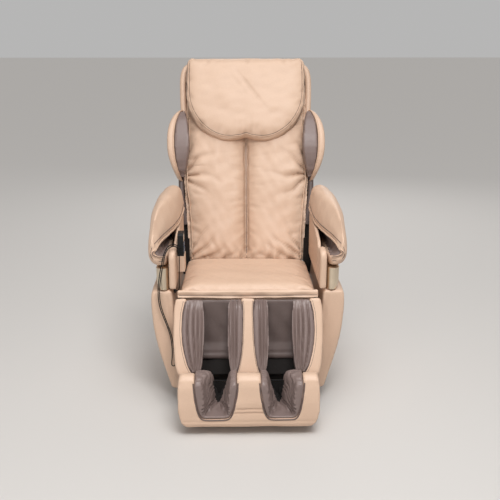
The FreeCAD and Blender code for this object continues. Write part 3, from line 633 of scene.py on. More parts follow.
def mark_folds(item: bpy.types.Object, rounds: int = 3, strength: float = 260.0) -> None:
    """Store how deep in a fold each point lies, from 0 to 1, for the leather to darken there as
    painted shade.
    """
    data = item.data
    ends = np.empty(len(data.edges) * 2, dtype=np.int32)
    data.edges.foreach_get("vertices", ends)
    ends = ends.reshape(-1, 2)
    points, facing = places(item), normals(item)
    count = np.bincount(ends.ravel(), minlength=len(points)).clip(1)[:, None]

    def around(values: Array) -> Array:
        total = np.zeros_like(values)
        np.add.at(total, ends[:, 0], values[ends[:, 1]])
        np.add.at(total, ends[:, 1], values[ends[:, 0]])
        return total / count
    smooth = points
    for _ in range(rounds):
        smooth = around(smooth)
    depth = ((smooth - points) * facing).sum(1)
    value = np.clip(depth * strength, 0, 1)[:, None]
    layer = data.attributes.new("fold", "FLOAT", "POINT")
    layer.data.foreach_set("value", around(value).astype(np.float32).ravel())


def inflate(item: bpy.types.Object, pinned: Field, pressure: float, cap: float,
            slack: float = 0.0, frames: int = 16) -> bpy.types.Object:
    """Fill a cover by cloth simulation.

    Args:
        item: the cover, evenly meshed.
        pinned: how firmly each point is held, from 0 to 1.
        pressure: the filling's pressure.
        cap: how far a point may move.
        slack: how much larger the cloth is cut than its rest shape, as a share.
        frames: how long it is run.

    Returns:
        The same object, filled.
    """
    before = places(item)
    hold = np.clip(pinned(before, normals(item)), 0, 1)
    group = item.vertex_groups.new(name="held")
    for index in np.nonzero(hold > 0.02)[0]:
        group.add([int(index)], float(hold[index]), "REPLACE")
    modifier = item.modifiers.new("Cloth", "CLOTH")
    cloth = modifier.settings
    cloth.quality = 4
    cloth.mass = 0.3
    cloth.use_pressure = True
    cloth.uniform_pressure_force = pressure
    cloth.vertex_group_mass = "held"
    cloth.shrink_min = -slack
    cloth.effector_weights.gravity = 0
    modifier.collision_settings.use_collision = False
    scene = bpy.context.scene
    for number in range(1, frames + 1):
        scene.frame_set(number)
    settle(item)
    item.vertex_groups.clear()
    moved = places(item) - before
    far = np.linalg.norm(moved, axis=1)
    put(item, before + moved * (cap * np.tanh(far / cap) / np.maximum(far, 1e-9))[:, None])
    scene.frame_set(1)
    return item


def cord(name: str, points: Sequence[Point], radius: float, sides: int,
         resolution: int) -> bpy.types.Object:
    """A round curve along a smooth line.

    Args:
        name: the object's name.
        points: the line's control points.
        radius: half its thickness.
        sides: how finely its round section is cut.
        resolution: how finely its length is cut.

    Returns:
        The curve's object.
    """
    curve = bpy.data.curves.new(name, "CURVE")
    curve.dimensions = "3D"
    curve.bevel_depth = radius
    curve.bevel_resolution = sides
    curve.use_fill_caps = True
    spline = curve.splines.new("NURBS")
    spline.points.add(len(points) - 1)
    for knot, place in zip(spline.points, points):
        knot.co = (*place, 1)
    spline.order_u = 3
    spline.use_endpoint_u = True
    spline.resolution_u = resolution
    return link(name, curve)


def tube(points: Sequence[Point], radius: float) -> bpy.types.Object:
    """A round cord of piping along a smooth line, as a mesh."""
    item = cord("line", points, radius, sides=2, resolution=3)
    depsgraph = bpy.context.evaluated_depsgraph_get()
    data = bpy.data.meshes.new_from_object(item.evaluated_get(depsgraph))
    bpy.data.objects.remove(item)
    return link("line", data)


def evenly(points: Sequence[Point], count: int) -> list[Point]:
    """Points spread evenly along an open line through the given ones."""
    line = np.array(points)
    run = np.concatenate([[0], np.cumsum(np.linalg.norm(np.diff(line, axis=0), axis=1))])
    spots = np.linspace(0, run[-1], count)
    return [tuple(spot) for spot in
            np.column_stack([np.interp(spots, run, line[:, axis]) for axis in range(3)])]


def along_surface(item: bpy.types.Object, points: Sequence[Point], lift: float,
                  drop: Point | None = None) -> list[Point]:
    """The points moved on to the object, and lifted off it a little.

    Args:
        item: the object.
        points: the places near it.
        lift: how far off its surface they end.
        drop: the way they are dropped on to it; the nearest place is taken without it.

    Returns:
        The places found.
    """
    depsgraph = bpy.context.evaluated_depsgraph_get()
    tree = BVHTree.FromObject(item, depsgraph)
    found = []
    for place in points:
        spot, facing = None, None
        if drop is not None:
            spot, facing, _, _ = tree.ray_cast(Vector(place) - Vector(drop) * .1, Vector(drop))
        if spot is None:
            spot, facing, _, _ = tree.find_nearest(Vector(place))
        found.append(tuple(spot + facing * lift))
    return found


def join(items: Sequence[bpy.types.Object]) -> bpy.types.Object:
    """Several objects as one, each keeping its material and its painted crease shade."""
    kept = items[0]
    if len(items) > 1:
        with bpy.context.temp_override(active_object=kept, selected_editable_objects=list(items)):
            bpy.ops.object.join()
    return kept


def wear(item: bpy.types.Object, look: Look) -> bpy.types.Object:
    """Give the object one finish."""
    item.data.materials.clear()
    item.data.materials.append(LOOKS[look])
    return item


def seam(item: bpy.types.Object, points: Sequence[Point], radius: float = 0.0028,
         dark: bool = False, lift: float = 0.0005, drop: Point | None = None) -> bpy.types.Object:
    """Piping on an object's surface along a line of points."""
    line = tube(along_surface(item, points, lift, drop), radius)
    return wear(line, Trim.DARK if dark else Trim.PIPING)


def flipped(item: bpy.types.Object) -> bpy.types.Object:
    """A copy of the object on the other side of the chair."""
    other = link(item.name, item.data.copy())
    work = bmesh.new()
    work.from_mesh(other.data)
    bmesh.ops.transform(work, matrix=MIRROR, verts=work.verts[:])
    bmesh.ops.reverse_faces(work, faces=work.faces[:])
    work.to_mesh(other.data)
    work.free()
    return other


def on_side(items: list[bpy.types.Object], side: Side) -> list[bpy.types.Object]:
    """Objects made for the right side, mirrored where the left is wanted."""
    if side is Side.RIGHT:
        return items
    made = []
    for item in items:
        made.append(flipped(item))
        bpy.data.objects.remove(item)
    return made


def finish(item: bpy.types.Object, name: str, body: str, slot: Slot,
           stands_for: Sequence[str] = (), fill: float | None = None) -> None:
    """Hand a piece to the frame.

    Args:
        item: the object, in the axes of its body.
        name: the piece's name.
        body: the CAD body that it moves with.
        slot: the record's slot of its main finish.
        stands_for: the CAD nodes that it stands for.
        fill: how full a padded piece is, from 0 to 1; not used.
    """
    if not item.data.materials:
        wear(item, slot)
    item.data.transform(AXES.get(body, CHAIR))
    item.data.polygons.foreach_set("use_smooth", [True] * len(item.data.polygons))
    item.data.set_sharp_from_angle(angle=SHARP_ANGLE)
    item.name = name
    item.data.name = name
    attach(item, body)
    if stands_for:
        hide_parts(*stands_for)
    log.info("%s: %d faces on %s", name, len(item.data.polygons), body)


# ================================================================ camera, light and floor
@dataclass
class Studio:
    """The camera, the pale floor and the soft lights."""

    lens: float = 53.28
    height: float = 1.366
    pitch: float = 16.4
    swing: float = 0.858
    place: Flat = (-0.031, -2.916)

    def camera(self) -> None:
        """Set the camera at a standing person's eye, looking a little down."""
        data = bpy.data.cameras.new("camera")
        data.lens = self.lens
        data.sensor_width = SENSOR_WIDTH
        item = link("camera", data)
        item.location = (*self.place, self.height)
        item.rotation_euler = (math.radians(90 - self.pitch), 0, -math.radians(self.swing))
        bpy.context.scene.camera = item

    def floor(self) -> None:
        """A plain pale floor."""
        work = bmesh.new()
        bmesh.ops.create_grid(work, x_segments=1, y_segments=1, size=FLOOR_SIZE)
        data = bpy.data.meshes.new("floor")
        work.to_mesh(data)
        work.free()
        item = link("floor", data)
        shader = Shader("floor")
        shader.set(Base_Color=FLOOR_COLOUR, Roughness=0.75)
        item.data.materials.append(shader.material)

    def lamp(self, name: str, place: Point, size: float, power: float, aim: Point) -> None:
        """One soft square light aimed at a point."""
        data = bpy.data.lights.new(name, "AREA")
        data.size = size
        data.energy = power
        item = link(name, data)
        item.location = place
        item.rotation_euler = (Vector(aim) - Vector(place)).to_track_quat("-Z", "Y").to_euler()

    def build(self) -> None:
        """Set up the whole studio."""
        self.camera()
        self.floor()
        self.lamp("key", (0.35, -1.95, 2.85), 1.0, 47, (0, 0.1, 0.60))
        self.lamp("fill", (-1.6, -3.4, 1.5), 1.6, 26, (0, 0, 0.5))
        self.lamp("rear", (0.6, 3.2, 2.4), 2.4, 24, (0, 0, 0.6))
        self.overhead()
        self.surroundings()
        bpy.context.scene.view_settings.view_transform = "Standard"
        log.info("studio ready")

    def overhead(self) -> None:
        """A broad, even light from above, so that the far floor is lit as the near floor is."""
        sky = bpy.data.lights.new("sky", "SUN")
        sky.energy = 1.65
        sky.angle = math.radians(50)
        item = link("sky", sky)
        item.rotation_euler = (math.radians(17), math.radians(4), 0)

    def surroundings(self) -> None:
        """A dim even glow from all round, seen by the camera as a paler wall."""
        world = bpy.data.worlds.new("world")
        bpy.context.scene.world = world
        world.use_nodes = True
        tree = world.node_tree
        glow = tree.nodes["Background"]
        wall = tree.nodes.new("ShaderNodeBackground")
        for back, strength in ((glow, 0.22), (wall, 0.50)):
            back.inputs["Color"].default_value = WALL_COLOUR
            back.inputs["Strength"].default_value = strength
        seen = tree.nodes.new("ShaderNodeLightPath")
        both = tree.nodes.new("ShaderNodeMixShader")
        tree.links.new(seen.outputs["Is Camera Ray"], both.inputs["Fac"])
        tree.links.new(glow.outputs["Background"], both.inputs[1])
        tree.links.new(wall.outputs["Background"], both.inputs[2])
        tree.links.new(both.outputs["Shader"], tree.nodes["World Output"].inputs["Surface"])


# ================================================================ the handset's lead
@dataclass
class Lead:
    """The handset's lead, from the grommet over the arm, down in a bight and back."""

    diameter: float = 0.0038
    length: float = 1.29
    route: list[Point] = field(default_factory=lambda: [
        (-.271, -.265, .425), (-.263, -.266, .428), (-.259, -.268, .438), (-.258, -.272, .456),
        (-.257, -.277, .485), (-.256, -.282, .520), (-.254, -.287, .555), (-.254, -.292, .585),
        (-.258, -.297, .604), (-.268, -.303, .613), (-.281, -.316, .614), (-.292, -.331, .609),
        (-.300, -.342, .595), (-.306, -.346, .568), (-.315, -.346, .525), (-.323, -.345, .480),
        (-.326, -.344, .438), (-.323, -.344, .397), (-.313, -.344, .361), (-.300, -.344, .323),
        (-.288, -.344, .286), (-.2815, -.344, .249), (-.279, -.344, .212), (-.2775, -.344, .182),
        (-.2755, -.344, .164), (-.2765, -.344, .155), (-.282, -.344, .151), (-.288, -.344, .154),
        (-.2895, -.344, .163), (-.287, -.344, .182), (-.285, -.344, .212), (-.287, -.344, .251),
        (-.2935, -.344, .289), (-.3055, -.344, .325), (-.3185, -.344, .362), (-.3285, -.344, .398),
        (-.3315, -.344, .438), (-.3285, -.345, .481), (-.321, -.346, .526), (-.312, -.347, .568),
        (-.304, -.344, .598), (-.294, -.330, .616), (-.281, -.312, .621), (-.268, -.297, .618),
        (-.258, -.283, .606), (-.252, -.270, .592), (-.251, -.255, .585)])

    def build(self) -> None:
        item = cord("handset_lead", self.route, self.diameter / 2, sides=3, resolution=8)
        wear(item, Slot.JACKET)
        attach(item, "base")
        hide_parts("handset_cord")
        log.info("handset_lead laid")


# ================================================================ backrest
@dataclass
class Backrest:
    """The back pad, its rear shell, the shoulder wings and the head pillow."""

    front: float = -0.083
    low: float = 0.046
    high: float = 0.927

    def half_width(self, height: Array) -> Array:
        """Half the pad's width at a height along the backrest."""
        return np.interp(height, [0.05, 0.22, 0.42, 0.80, 0.93],
                         [0.250, 0.264, 0.279, 0.270, 0.240])

    def pad(self) -> None:
        """The long pad: two crowned halves on a central seam, gathered at its lower corners."""
        outline = [(-.246, self.low), (.246, self.low), (.260, .22), (.275, .42), (.266, .80),
                   (.236, self.high - .004), (-.236, self.high - .004), (-.264, .80),
                   (-.275, .42), (-.260, .22)]
        item = Form().slab(outline, "y", self.front + .006, -.040).soften(.016, 4).object("pad")
        remesh(item, .0065, 3)

        def held(points: Array, facing: Array) -> Array:
            rim = self.half_width(points[:, 2]) - np.abs(points[:, 0])
            tucked = bell(np.abs(points[:, 0]), .005) * (facing[:, 1] < -.5)
            edge = bell(rim, .006) + bell(points[:, 2] - self.low, .006)
            return (points[:, 1] > -.052) + tucked * .9 + edge * .8
        inflate(item, held, 3.2, .016, .025)

        def shape(points: Array, facing: Array) -> Array:
            face = step(-facing[:, 1], .3, .8)
            across, up = np.abs(points[:, 0]), points[:, 2]
            rim = self.half_width(up) - across
            crown = .016 * np.clip(1 - np.abs(across / .13 - 1), 0, 1) ** .55 - .006
            groove = -.013 * bell(across, .004) - .009 * bell(across, .026)
            groove *= step(-up, -.60, -.55)
            flow = ripple(points, .14, 5)
            low_folds = bell(up - self.low, .075) * np.sin(across * 120 + 2.6 * flow)
            radial = np.arctan2(up - self.low + .05, .31 - across)
            corner = bell(np.hypot(across - .235, up - self.low), .12)
            corner *= np.abs(np.sin(radial * 13 + .5 * flow)) ** .6 - .5
            pull = np.arctan2(up - .43, .285 - across)
            reach = np.hypot(.285 - across, up - .43)
            waist = bell(reach - .05, .085) * (np.abs(np.sin(pull * 4.6 + .7 * flow)) ** .7 - .5)
            drag = .0022 * ripple(points * (1, 1, .6), .17, 9) + .0010 * ripple(points, .055, 10)
            edge = -.006 * bell(rim - .013, .006)
            return face * (crown + groove + .0038 * low_folds + .0165 * corner + .0160 * waist
                           + drag + edge)
        wear(swell(item, shape), Slot.CREAM)
        rims = []
        for sign in (-1, 1):
            ups = np.linspace(self.low + .012, self.high - .03, 30)
            line = [(sign * (float(w) - .009), self.front - .004, float(up))
                    for up, w in zip(ups, self.half_width(ups))]
            rims.append(seam(item, line, .0028))
        middle = [(0, self.front, float(up)) for up in np.linspace(self.low + .02, .575, 24)]
        rims.append(seam(item, middle, .0010, dark=True, drop=(0, 1, 0)))
        finish(join([item, *rims]), "back_cushion", "backrest", Slot.CREAM, ["back_pad"], .7)

    def pillow(self) -> None:
        """The head pillow: a thick flap with rounded lobes, folded over the top of the pad."""
        half, low, high, front = .262, .573, .951, -.133
        turn = np.radians(np.linspace(4, 78, 12))
        lobe = [(.062 + (half - .062) * math.cos(a), .790 - (.790 - low) * math.sin(a))
                for a in turn]
        right = [(half - .020, high - .006), (half - .002, high - .030), (half, high - .09),
                 *lobe, (.062, low + .003), (.024, low + .008)]
        outline = right + [(0, low + .018)] + [(-x, z) for x, z in reversed(right)]
        flap = Form().slab(outline, "y", front + .010, -.0865).soften(.013, 3)
        flap.slab([(front + .02, high - .05), (-.022, high - .017), (-.018, high - .006),
                   (front + .045, high - .003)], "x", -half + .014, half - .014)
        item = remesh(flap.object("pillow"), .006, 4)

        def held(points: Array, facing: Array) -> Array:
            return (points[:, 1] > -.094) * 1.0
        inflate(item, held, 3.0, .014, .02)

        def shape(points: Array, facing: Array) -> Array:
            face = step(-facing[:, 1], .2, .8)
            across, up = np.abs(points[:, 0]), points[:, 2]
            crown = .006 * np.clip(1 - (across / .26) ** 2, 0, 1) * step(up, low, low + .10)
            line = (points[:, 0] - .02) * .80 + (up - .80) * .62
            crease = bell(line, .006) * bell(np.hypot(points[:, 0] - .02, up - .80), .085)
            second = bell(line + .030, .005) * bell(np.hypot(across, up - .855), .05)
            pucker = bell(np.hypot(across, up - low - .01), .06)
            pucker *= np.abs(np.sin(points[:, 0] * 120 + .6)) ** .6 - .5
            drag = .0016 * ripple(points, .15, 14) + .0007 * ripple(points, .05, 15)
            return face * (crown - .0030 * crease - .0022 * second + .0042 * pucker + drag)
        wear(swell(item, shape), Slot.CREAM)
        inner = [(x * .952, front - .004, low + .013 + (z - low) * .965) for x, z in outline[1:-1]]
        stitch = [(x * .938, front - .004, low + .017 + (z - low) * .958) for x, z in outline[1:-1]]
        rims = [seam(item, evenly(inner, 90), .0026, drop=(0, 1, 0)),
                seam(item, evenly(stitch, 110), .0008, dark=True, lift=.0007, drop=(0, 1, 0))]
        finish(join([item, *rims]), "head_cushion", "pillow", Slot.CREAM, ["head_pillow"], .65)

    def shell(self) -> None:
        """The moulded rear cover, with a raised middle panel."""
        low, high, half = .070, .920, .289
        shoulder = [(half, .845), (half - .008, .885), (half - .030, high - .006),
                    (half - .060, high)]
        right = [(.254, low), (half, .38), *shoulder]
        outline = right + [(-x, z) for x, z in reversed(right)]
        form = Form().slab(outline, "y", -.037, .0815)
        form.soften(.045, 5, lambda mid, way: mid.y > .08 and mid.z > low + .01)
        item = remesh(form.object("shell"), .0075, 4)
        work = bmesh.new()
        work.from_mesh(item.data)
        front = [face for face in work.faces if face.calc_center_median().y < -.030 or
                 face.calc_center_median().z < low + .006]
        bmesh.ops.delete(work, geom=front, context="FACES")
        work.to_mesh(item.data)
        work.free()

        def shape(points: Array, facing: Array) -> Array:
            across, up = np.abs(points[:, 0]), points[:, 2]
            rear = step(facing[:, 1], .5, .9)
            ring = np.maximum(across / .185, np.abs(up - .50) / .33)
            return rear * (-.004 * bell(ring - 1, .022) + .002 * (ring < 1)) \
                + .0006 * ripple(points, .2, 21)
        swell(item, shape)
        thick = item.modifiers.new("Thick", "SOLIDIFY")
        thick.thickness = .005
        thick.offset = -1
        settle(item)
        wear(item, Slot.CREAM)
        edge = [(.266, -.040, .560), (.272, -.043, .640), (.2775, -.045, .740),
                (.2805, -.045, .820), (.2800, -.043, .880), (.2700, -.036, .920),
                (.2450, -.028, .938), (.12, -.018, .9385), (0, -.018, .9385)]
        rolls = []
        for sign in (-1, 1):
            rolls.append(wear(tube([(sign * x, y, z) for x, y, z in edge], .0145), Slot.CREAM))
        finish(join([item, *rolls]), "rear_shell", "backrest", Slot.CREAM, ["back_shell"])
        # Painted shade: near-black sheets behind the gaps beside the pad, and rolls in the darkened
        # taupe at the pad's sides, where those gaps fall into shadow.
        flaps = []
        for sign in (-1, 1):
            strip = [(sign * .236, .056), (sign * .283, .056), (sign * .290, .300),
                     (sign * .292, .560), (sign * .236, .560)]
            flap = Form().slab(strip if sign > 0 else strip[::-1], "y", -.0365, -.0335)
            flaps.append(wear(flap.object("gusset"), Trim.SHADE))
            roll = [(.262, -.046, .215), (.272, -.052, .262), (.281, -.056, .320),
                    (.286, -.056, .385), (.286, -.050, .450)]
            fold = tube([(sign * x, y, z) for x, y, z in roll], .0125)
            flaps.append(wear(fold, Trim.DEEP))
        finish(join(flaps), "back_gussets", "backrest", Slot.BLACK)

    def wing(self, side: Side) -> None:
        """A shoulder wing: a cupped outer shell, lens-shaped, with a taupe airbag inside it."""
        low, high, front = .398, .728, -.165
        middle, reach = (low + high) / 2, (high - low) / 2
        turn = np.radians(np.linspace(-90, 90, 19))
        nose = [(-.020 - (abs(front) - .020) * math.cos(a) ** .75, middle + reach * math.sin(a))
                for a in turn]

        def cup(place: Vector) -> Vector:
            share = min(1.0, abs(place.z - middle) / reach)
            place.x -= (.052 if place.x > .325 else .034) * share ** 2.4
            return place
        shell = Form().slab([*nose, (.018, high - .03), (.018, low + .03)], "x", .308, .340)
        shell.soften(.011, 4, lambda mid, way: abs(way.x) < .5)
        shell.slice("z", np.linspace(low + .03, high - .03, 9)).taper(cup)
        shell.slab([(-.030, low + .05), (.018, low + .05), (.018, high - .05),
                    (-.030, high - .05)], "x", .288, .312)
        item = remesh(shell.object("wing"), .0055, 5)
        wear(item, Slot.CREAM)
        line = [tuple(cup(Vector((.309, y - .001, z)))) for y, z in nose[1:-1]]
        trim = [seam(item, line, .0030, lift=.0008)]
        finish(join(on_side([item, *trim], side)), f"wing_{side.word}", "backrest",
               Slot.CREAM, [f"wing_shell_{side.word}"])
        lens = [(min(y * .97, -.087), middle + (z - middle) * .955) for y, z in nose]
        bag = Form().slab(lens, "x", .262, .3065).soften(.014, 4)
        bag.slice("z", np.linspace(low + .03, high - .03, 9))

        def belly(place: Vector) -> Vector:
            share = min(1.0, abs((place.z - middle) / reach))
            bulge = .016 - .044 * share ** 2 if place.x < .285 else .006 * share ** 2
            place.x -= bulge + .016 * share ** 2.4
            return place
        bag.taper(belly)
        bag = remesh(bag.object("wing_bag"), .0045, 4)

        def shape(points: Array, facing: Array) -> Array:
            folds = np.sin(points[:, 1] * 190 + 1.5 * ripple(points, .1, 31))
            return .0018 * folds * bell(np.abs(points[:, 2] - middle) - reach * .9, .07) \
                + .0012 * ripple(points, .06, 32)
        wear(swell(bag, shape), Slot.TAUPE)
        finish(on_side([bag], side)[0], f"wing_cushion_{side.word}", "backrest", Slot.TAUPE,
               [f"wing_airbag_{side.word}"], .6)

    def build(self) -> None:
        """Make every piece of the backrest."""
        self.pad()
        self.pillow()
        self.shell()
        for side in Side:
            self.wing(side)


# ================================================================ seat, arms and sides
@dataclass
class Seat:
    """The seat cushion and the piped lip in front of it."""

    half: float = 0.2555
    rear: float = 0.132

    def cushion(self) -> None:
        """The cushion, crowned and a little hollow where one sits."""
        side = [(-.314, .352), (self.rear + .004, .352), (self.rear + .004, .4235),
                (.05, .432), (-.20, .445), (-.314, .4445)]
        form = Form().slab(side, "x", -self.half + .003, self.half - .003)
        item = form.soften(.016, 4, lambda mid, way: mid.z > .40 or abs(way.z) > .5)
        item = remesh(item.object("seat"), .0065, 3)

        def held(points: Array, facing: Array) -> Array:
            rim = self.half - np.abs(points[:, 0])
            return (points[:, 2] < .40) * 1.0 + bell(rim, .008) * .8
        inflate(item, held, 3.0, .012, .012)

        def shape(points: Array, facing: Array) -> Array:
            top = step(facing[:, 2], .3, .8)
            across, deep = points[:, 0], points[:, 1]
            crown = .005 * np.clip(1 - (across / .25) ** 2, 0, 1)
            hollow = -.004 * bell(np.hypot(across, deep + .05), .16)
            folds = .0012 * bell(deep - .12, .10) * np.sin(deep * 85 + 1.2 * ripple(points, .2, 41))
            drag = .0011 * ripple(points * (.6, 1, 1), .13, 42) + .0005 * ripple(points, .04, 43)
            return top * (crown + hollow + folds + drag)
        swell(item, shape)
        finish(item, "seat_pad", "base", Slot.CREAM, ["seat_cushion"], .75)

    def lip(self) -> None:
        """The roll at the front of the seat with its two rows of piping."""
        form = Form()
        for low, high, out in ((.4275, .4475, -.3265), (.4195, .4285, -.3300)):
            form.slab([(out, low), (-.314, low), (-.314, high), (out + .006, high),
                       (out, high - .006)], "x", -.262, .262)
        item = remesh(form.object("lip"), .0032, 3)

        def shape(points: Array, facing: Array) -> Array:
            front = step(-facing[:, 1], .2, .8)
            row = -.0030 * bell(points[:, 2] - .4290, .0016)
            return front * (row + .0014 * ripple(points * (1, 1, 3), .10, 46))
        swell(item, shape)
        spots = places(item)
        sag = .0035 * np.cos(spots[:, 0] / .262 * math.pi * .5) + .0012 * ripple(spots, .16, 47)
        spots[:, 2] -= sag * step(-spots[:, 2], -.4400, -.4330)
        put(item, spots)
        wear(item, Slot.CREAM)
        rows = [seam(item, [(x, -.340, .4290 - .0030 * math.cos(x / .262 * math.pi * .5))
                            for x in np.linspace(-.256, .256, 24)], .0009, dark=True, lift=0,
                     drop=(0, 1, 0))]
        finish(join([item, *rows]), "seat_lip", "base", Slot.CREAM, ["seat_front_flap"])

    def build(self) -> None:
        """Make the seat."""
        self.cushion()
        self.lip()


@dataclass
class Arm:
    """One arm: hood, lining, post, inner panel, metal trim and the skirt under them."""

    side: Side

    def give(self, items: list[bpy.types.Object], name: str, slot: Slot, node: str,
             fill: float | None = None) -> None:
        """Finish a piece of the arm on its own side of the chair."""
        word = self.side.word
        made = on_side(items, self.side)
        finish(join(made), f"{name}_{word}", "base", slot, [f"{node}_{word}"], fill)

    def section(self, deep: float) -> list[Flat]:
        """The hood's C-shaped section at a depth: from its upper lip round to its lower one."""
        stations = (-.334, -.326, -.305, -.265, -.20, -.12, -.03, .06, .133)

        def at(*values: float) -> float:
            return blend(deep, stations, values)
        out = at(.352, .362, .3655, .3655, .3655, .3655, .363, .355, .350)
        top = at(.628, .652, .680, .702, .729, .744, .752, .754, .754)
        low = at(.566, .548, .539, .536, .536, .536, .536, .536, .536)
        lip_x = at(.3500, .3380, .3270, .3160, .2990, .2790, .2650, .2635, .2635)
        lip_z = at(.5995, .6080, .6180, .6240, .6280, .6330, .6420, .6560, .6600)
        tray_x = at(.3480, .3120, .2990, .2965, .2960, .2960, .2960, .2960, .2960)
        tray_z = at(.5900, .5790, .5760, .5750, .5750, .5750, .5750, .5750, .5750)
        deepest = at(.3510, .3450, .3420, .3400, .3395, .3395, .3380, .3350, .3330)
        roof = lip_z + at(.001, .006, .012, .018, .026, .034, .038, .038, .038)
        over = at(.004, .006, .010, .015, .018, .018, .015, .010, .009)
        return [(lip_x, lip_z), (lip_x - .001, lip_z + .010),
                (lip_x + over * .45, (lip_z + top) / 2),
                (lip_x + over * 1.7, top - .010), ((lip_x + out) / 2 + .004, top),
                (out - .018, top - .009), (out - .003, top - .031), (out, (top + low) / 2),
                (out - .002, low + .034), (out - .012, low + .012), (out - .032, low + .001),
                ((tray_x + out) / 2 - .008, low), (tray_x + .006, low + .001),
                (tray_x, (low + tray_z) / 2), (tray_x + .003, tray_z - .001),
                (tray_x + .012, tray_z), (deepest - .016, tray_z + .001),
                (deepest - .003, tray_z + .012), (deepest, (tray_z + roof) / 2),
                (deepest - .006, roof - .010), (deepest - .020, roof),
                (min(lip_x + .018, deepest - .004), roof - .001),
                (min(lip_x + .006, deepest - .001), lip_z + .003)]

    def hood(self) -> None:
        """The C-shaped shell, its lip swept from inside rear to outside front."""
        depths = [-.334, -.330, -.322, -.312, -.300, -.285, -.265, -.24, -.21, -.18, -.15, -.12,
                  -.08, -.04, 0, .04, .08, .11, .133]
        rings = [[(x, deep, z) for x, z in rounded(self.section(deep), 56)] for deep in depths]
        item = remesh(Form().loft(rings).object("hood"), .0048, 3)

        def shape(points: Array, facing: Array) -> Array:
            outer = step(facing[:, 0] + facing[:, 2], .2, .9)
            return outer * .0014 * ripple(points, .16, 51) + .0005 * ripple(points, .05, 52)
        wear(swell(item, shape), Slot.CREAM)
        lip, ridge = [], []
        for deep in reversed(depths[1:-1]):
            (x, z), (_, over), (high_x, high_z) = self.section(deep)[:3]
            lip.append((x - .001, deep - .002, z + .001))
            share = min(1.0, .019 / max(.001, high_z - z))
            ridge.append((x + (high_x - x) * share, deep - .003, max(over, z + .019)))
        lip += [(.349, -.337, .594), (.338, -.335, .584), (.320, -.331, .578), (.300, -.329, .577)]
        ridge += [(.359, -.333, .590), (.352, -.336, .572), (.334, -.335, .561),
                  (.305, -.331, .560)]
        trims = [seam(item, lip, .0046, lift=.0010), seam(item, lip, .0014, dark=True, lift=.0052),
                 seam(item, ridge, .0012, dark=True, lift=.0003)]
        self.give([item, *trims], "arm_shell", Slot.CREAM, "arm_hood")

    def lining(self) -> None:
        """The taupe airbag lining of the forearm channel: roof, outer wall and floor, puffed."""
        depths = [-.326, -.318, -.30, -.27, -.22, -.16, -.10, -.04, .02, .08, .10]
        rings = []
        for deep in depths:
            corners = self.section(deep)
            lip, tray = corners[0], corners[14]
            wall, roof, base = corners[18][0], corners[20][1], corners[15][1]
            puff = blend(deep, (-.326, -.30, -.22, -.10, .10), (.001, .006, .012, .016, .018))
            inner = max(.0035, puff)
            ring = [(lip[0] + .005, lip[1] + .002), (lip[0] + .012, lip[1] - inner * .55),
                    ((lip[0] + wall) / 2, roof - .010 - inner), (wall - .010 - inner, roof - .016),
                    (wall - .006 - inner, (roof + base) / 2), (wall - .012 - inner, base + .012),
                    ((tray[0] + wall) / 2, base + .004 + inner * .3), (tray[0] + .012, base + .004),
                    (tray[0] + .004, base + .001), (tray[0] + .008, base - .003),
                    ((tray[0] + wall) / 2, base - .003), (wall - .004, base + .004),
                    (wall + .002, (roof + base) / 2), (wall - .004, roof - .004),
                    ((lip[0] + wall) / 2, roof + .002), (lip[0] + .012, roof - .004)]
            rings.append([(x, deep, z) for x, z in rounded(ring, 44)])
        item = remesh(Form().loft(rings).object("lining"), .0042, 2)

        def shape(points: Array, facing: Array) -> Array:
            folds = np.sin(points[:, 1] * 150 + points[:, 2] * 60 + 2 * ripple(points, .09, 55))
            return .0013 * folds + .0009 * ripple(points, .05, 56)
        wear(swell(item, shape), Slot.TAUPE)
        # Painted shade: a near-black sheet closes the rear of the channel, deep inside it.
        end = Form().slab([(.270, .577), (.336, .577), (.336, .690), (.270, .690)], "y", .094, .098)
        cap = wear(end.object("end"), Trim.SHADE)
        self.give([item, cap], "arm_lining", Slot.TAUPE, "arm_airbag", .5)

    def post(self) -> None:
        """The upholstered post under the front of the arm, rounded over its top."""
        side = [(-.328, .451), (-.247, .451), (-.247, .590), (-.262, .599), (-.300, .599),
                (-.316, .594), (-.328, .575)]
        item = Form().slab(side, "x", .2655, .2915).soften(.010, 4)
        item = remesh(item.object("post"), .0045, 3)
        wear(item, Slot.CREAM)
        edge = [(.267, -.327, z) for z in np.linspace(.455, .585, 10)]
        self.give([item, seam(item, edge, .002)], "arm_column", Slot.CREAM, "arm_post")

    def panel(self) -> None:
        """The wall between the seat and the forearm channel, piped along its top."""
        side = [(-.236, .4515), (.128, .4515), (.128, .642), (.02, .642), (-.14, .622),
                (-.215, .608), (-.236, .585)]
        item = Form().slab(side, "x", .2655, .2785).soften(.0055, 3)
        item = remesh(item.object("panel"), .0042, 3)
        wear(item, Slot.CREAM)
        edge = [(.2665, -.236, .470), (.2665, -.236, .585), (.2665, -.213, .606),
                (.2665, -.14, .620), (.2665, .02, .641)]
        self.give([item, seam(item, edge, .0022)], "arm_wall", Slot.CREAM, "arm_inner_panel")

    def closer(self) -> None:
        """A near-black sheet behind the gap between the seat and the arm: painted shade for the
        gap's shadow.
        """
        strip = Form().slab([(.2440, .360), (.2925, .360), (.2925, .520), (.2440, .520)],
                            "y", .1372, .1392)
        item = wear(strip.object("closer"), Trim.SHADE)
        made = on_side([item], self.side)[0]
        finish(made, f"seat_gusset_{self.side.word}", "base", Slot.BLACK)

    def trim(self) -> None:
        """The champagne metal trim, rolled at its front and drawn in at its foot."""
        front = arc((.316, -.3055), .0222, 180, 360, 25)
        plan = [(.2938, .124), *front, (.3382, .124)]
        form = Form().slab(plan, "z", .4505, .5335)
        form.slice("z", (.458, .466, .476, .490))

        def draw_in(place: Vector) -> Vector:
            narrow = 1 - .20 * max(0.0, (.490 - place.z) / .040) ** 2
            place.x = .2938 + (place.x - .2938) * max(.76, narrow)
            return place
        form.taper(draw_in)
        item = form.object("trim")
        wear(item, Slot.CHAMPAGNE)
        self.give([item], "arm_trim", Slot.CHAMPAGNE, "trim_panel")

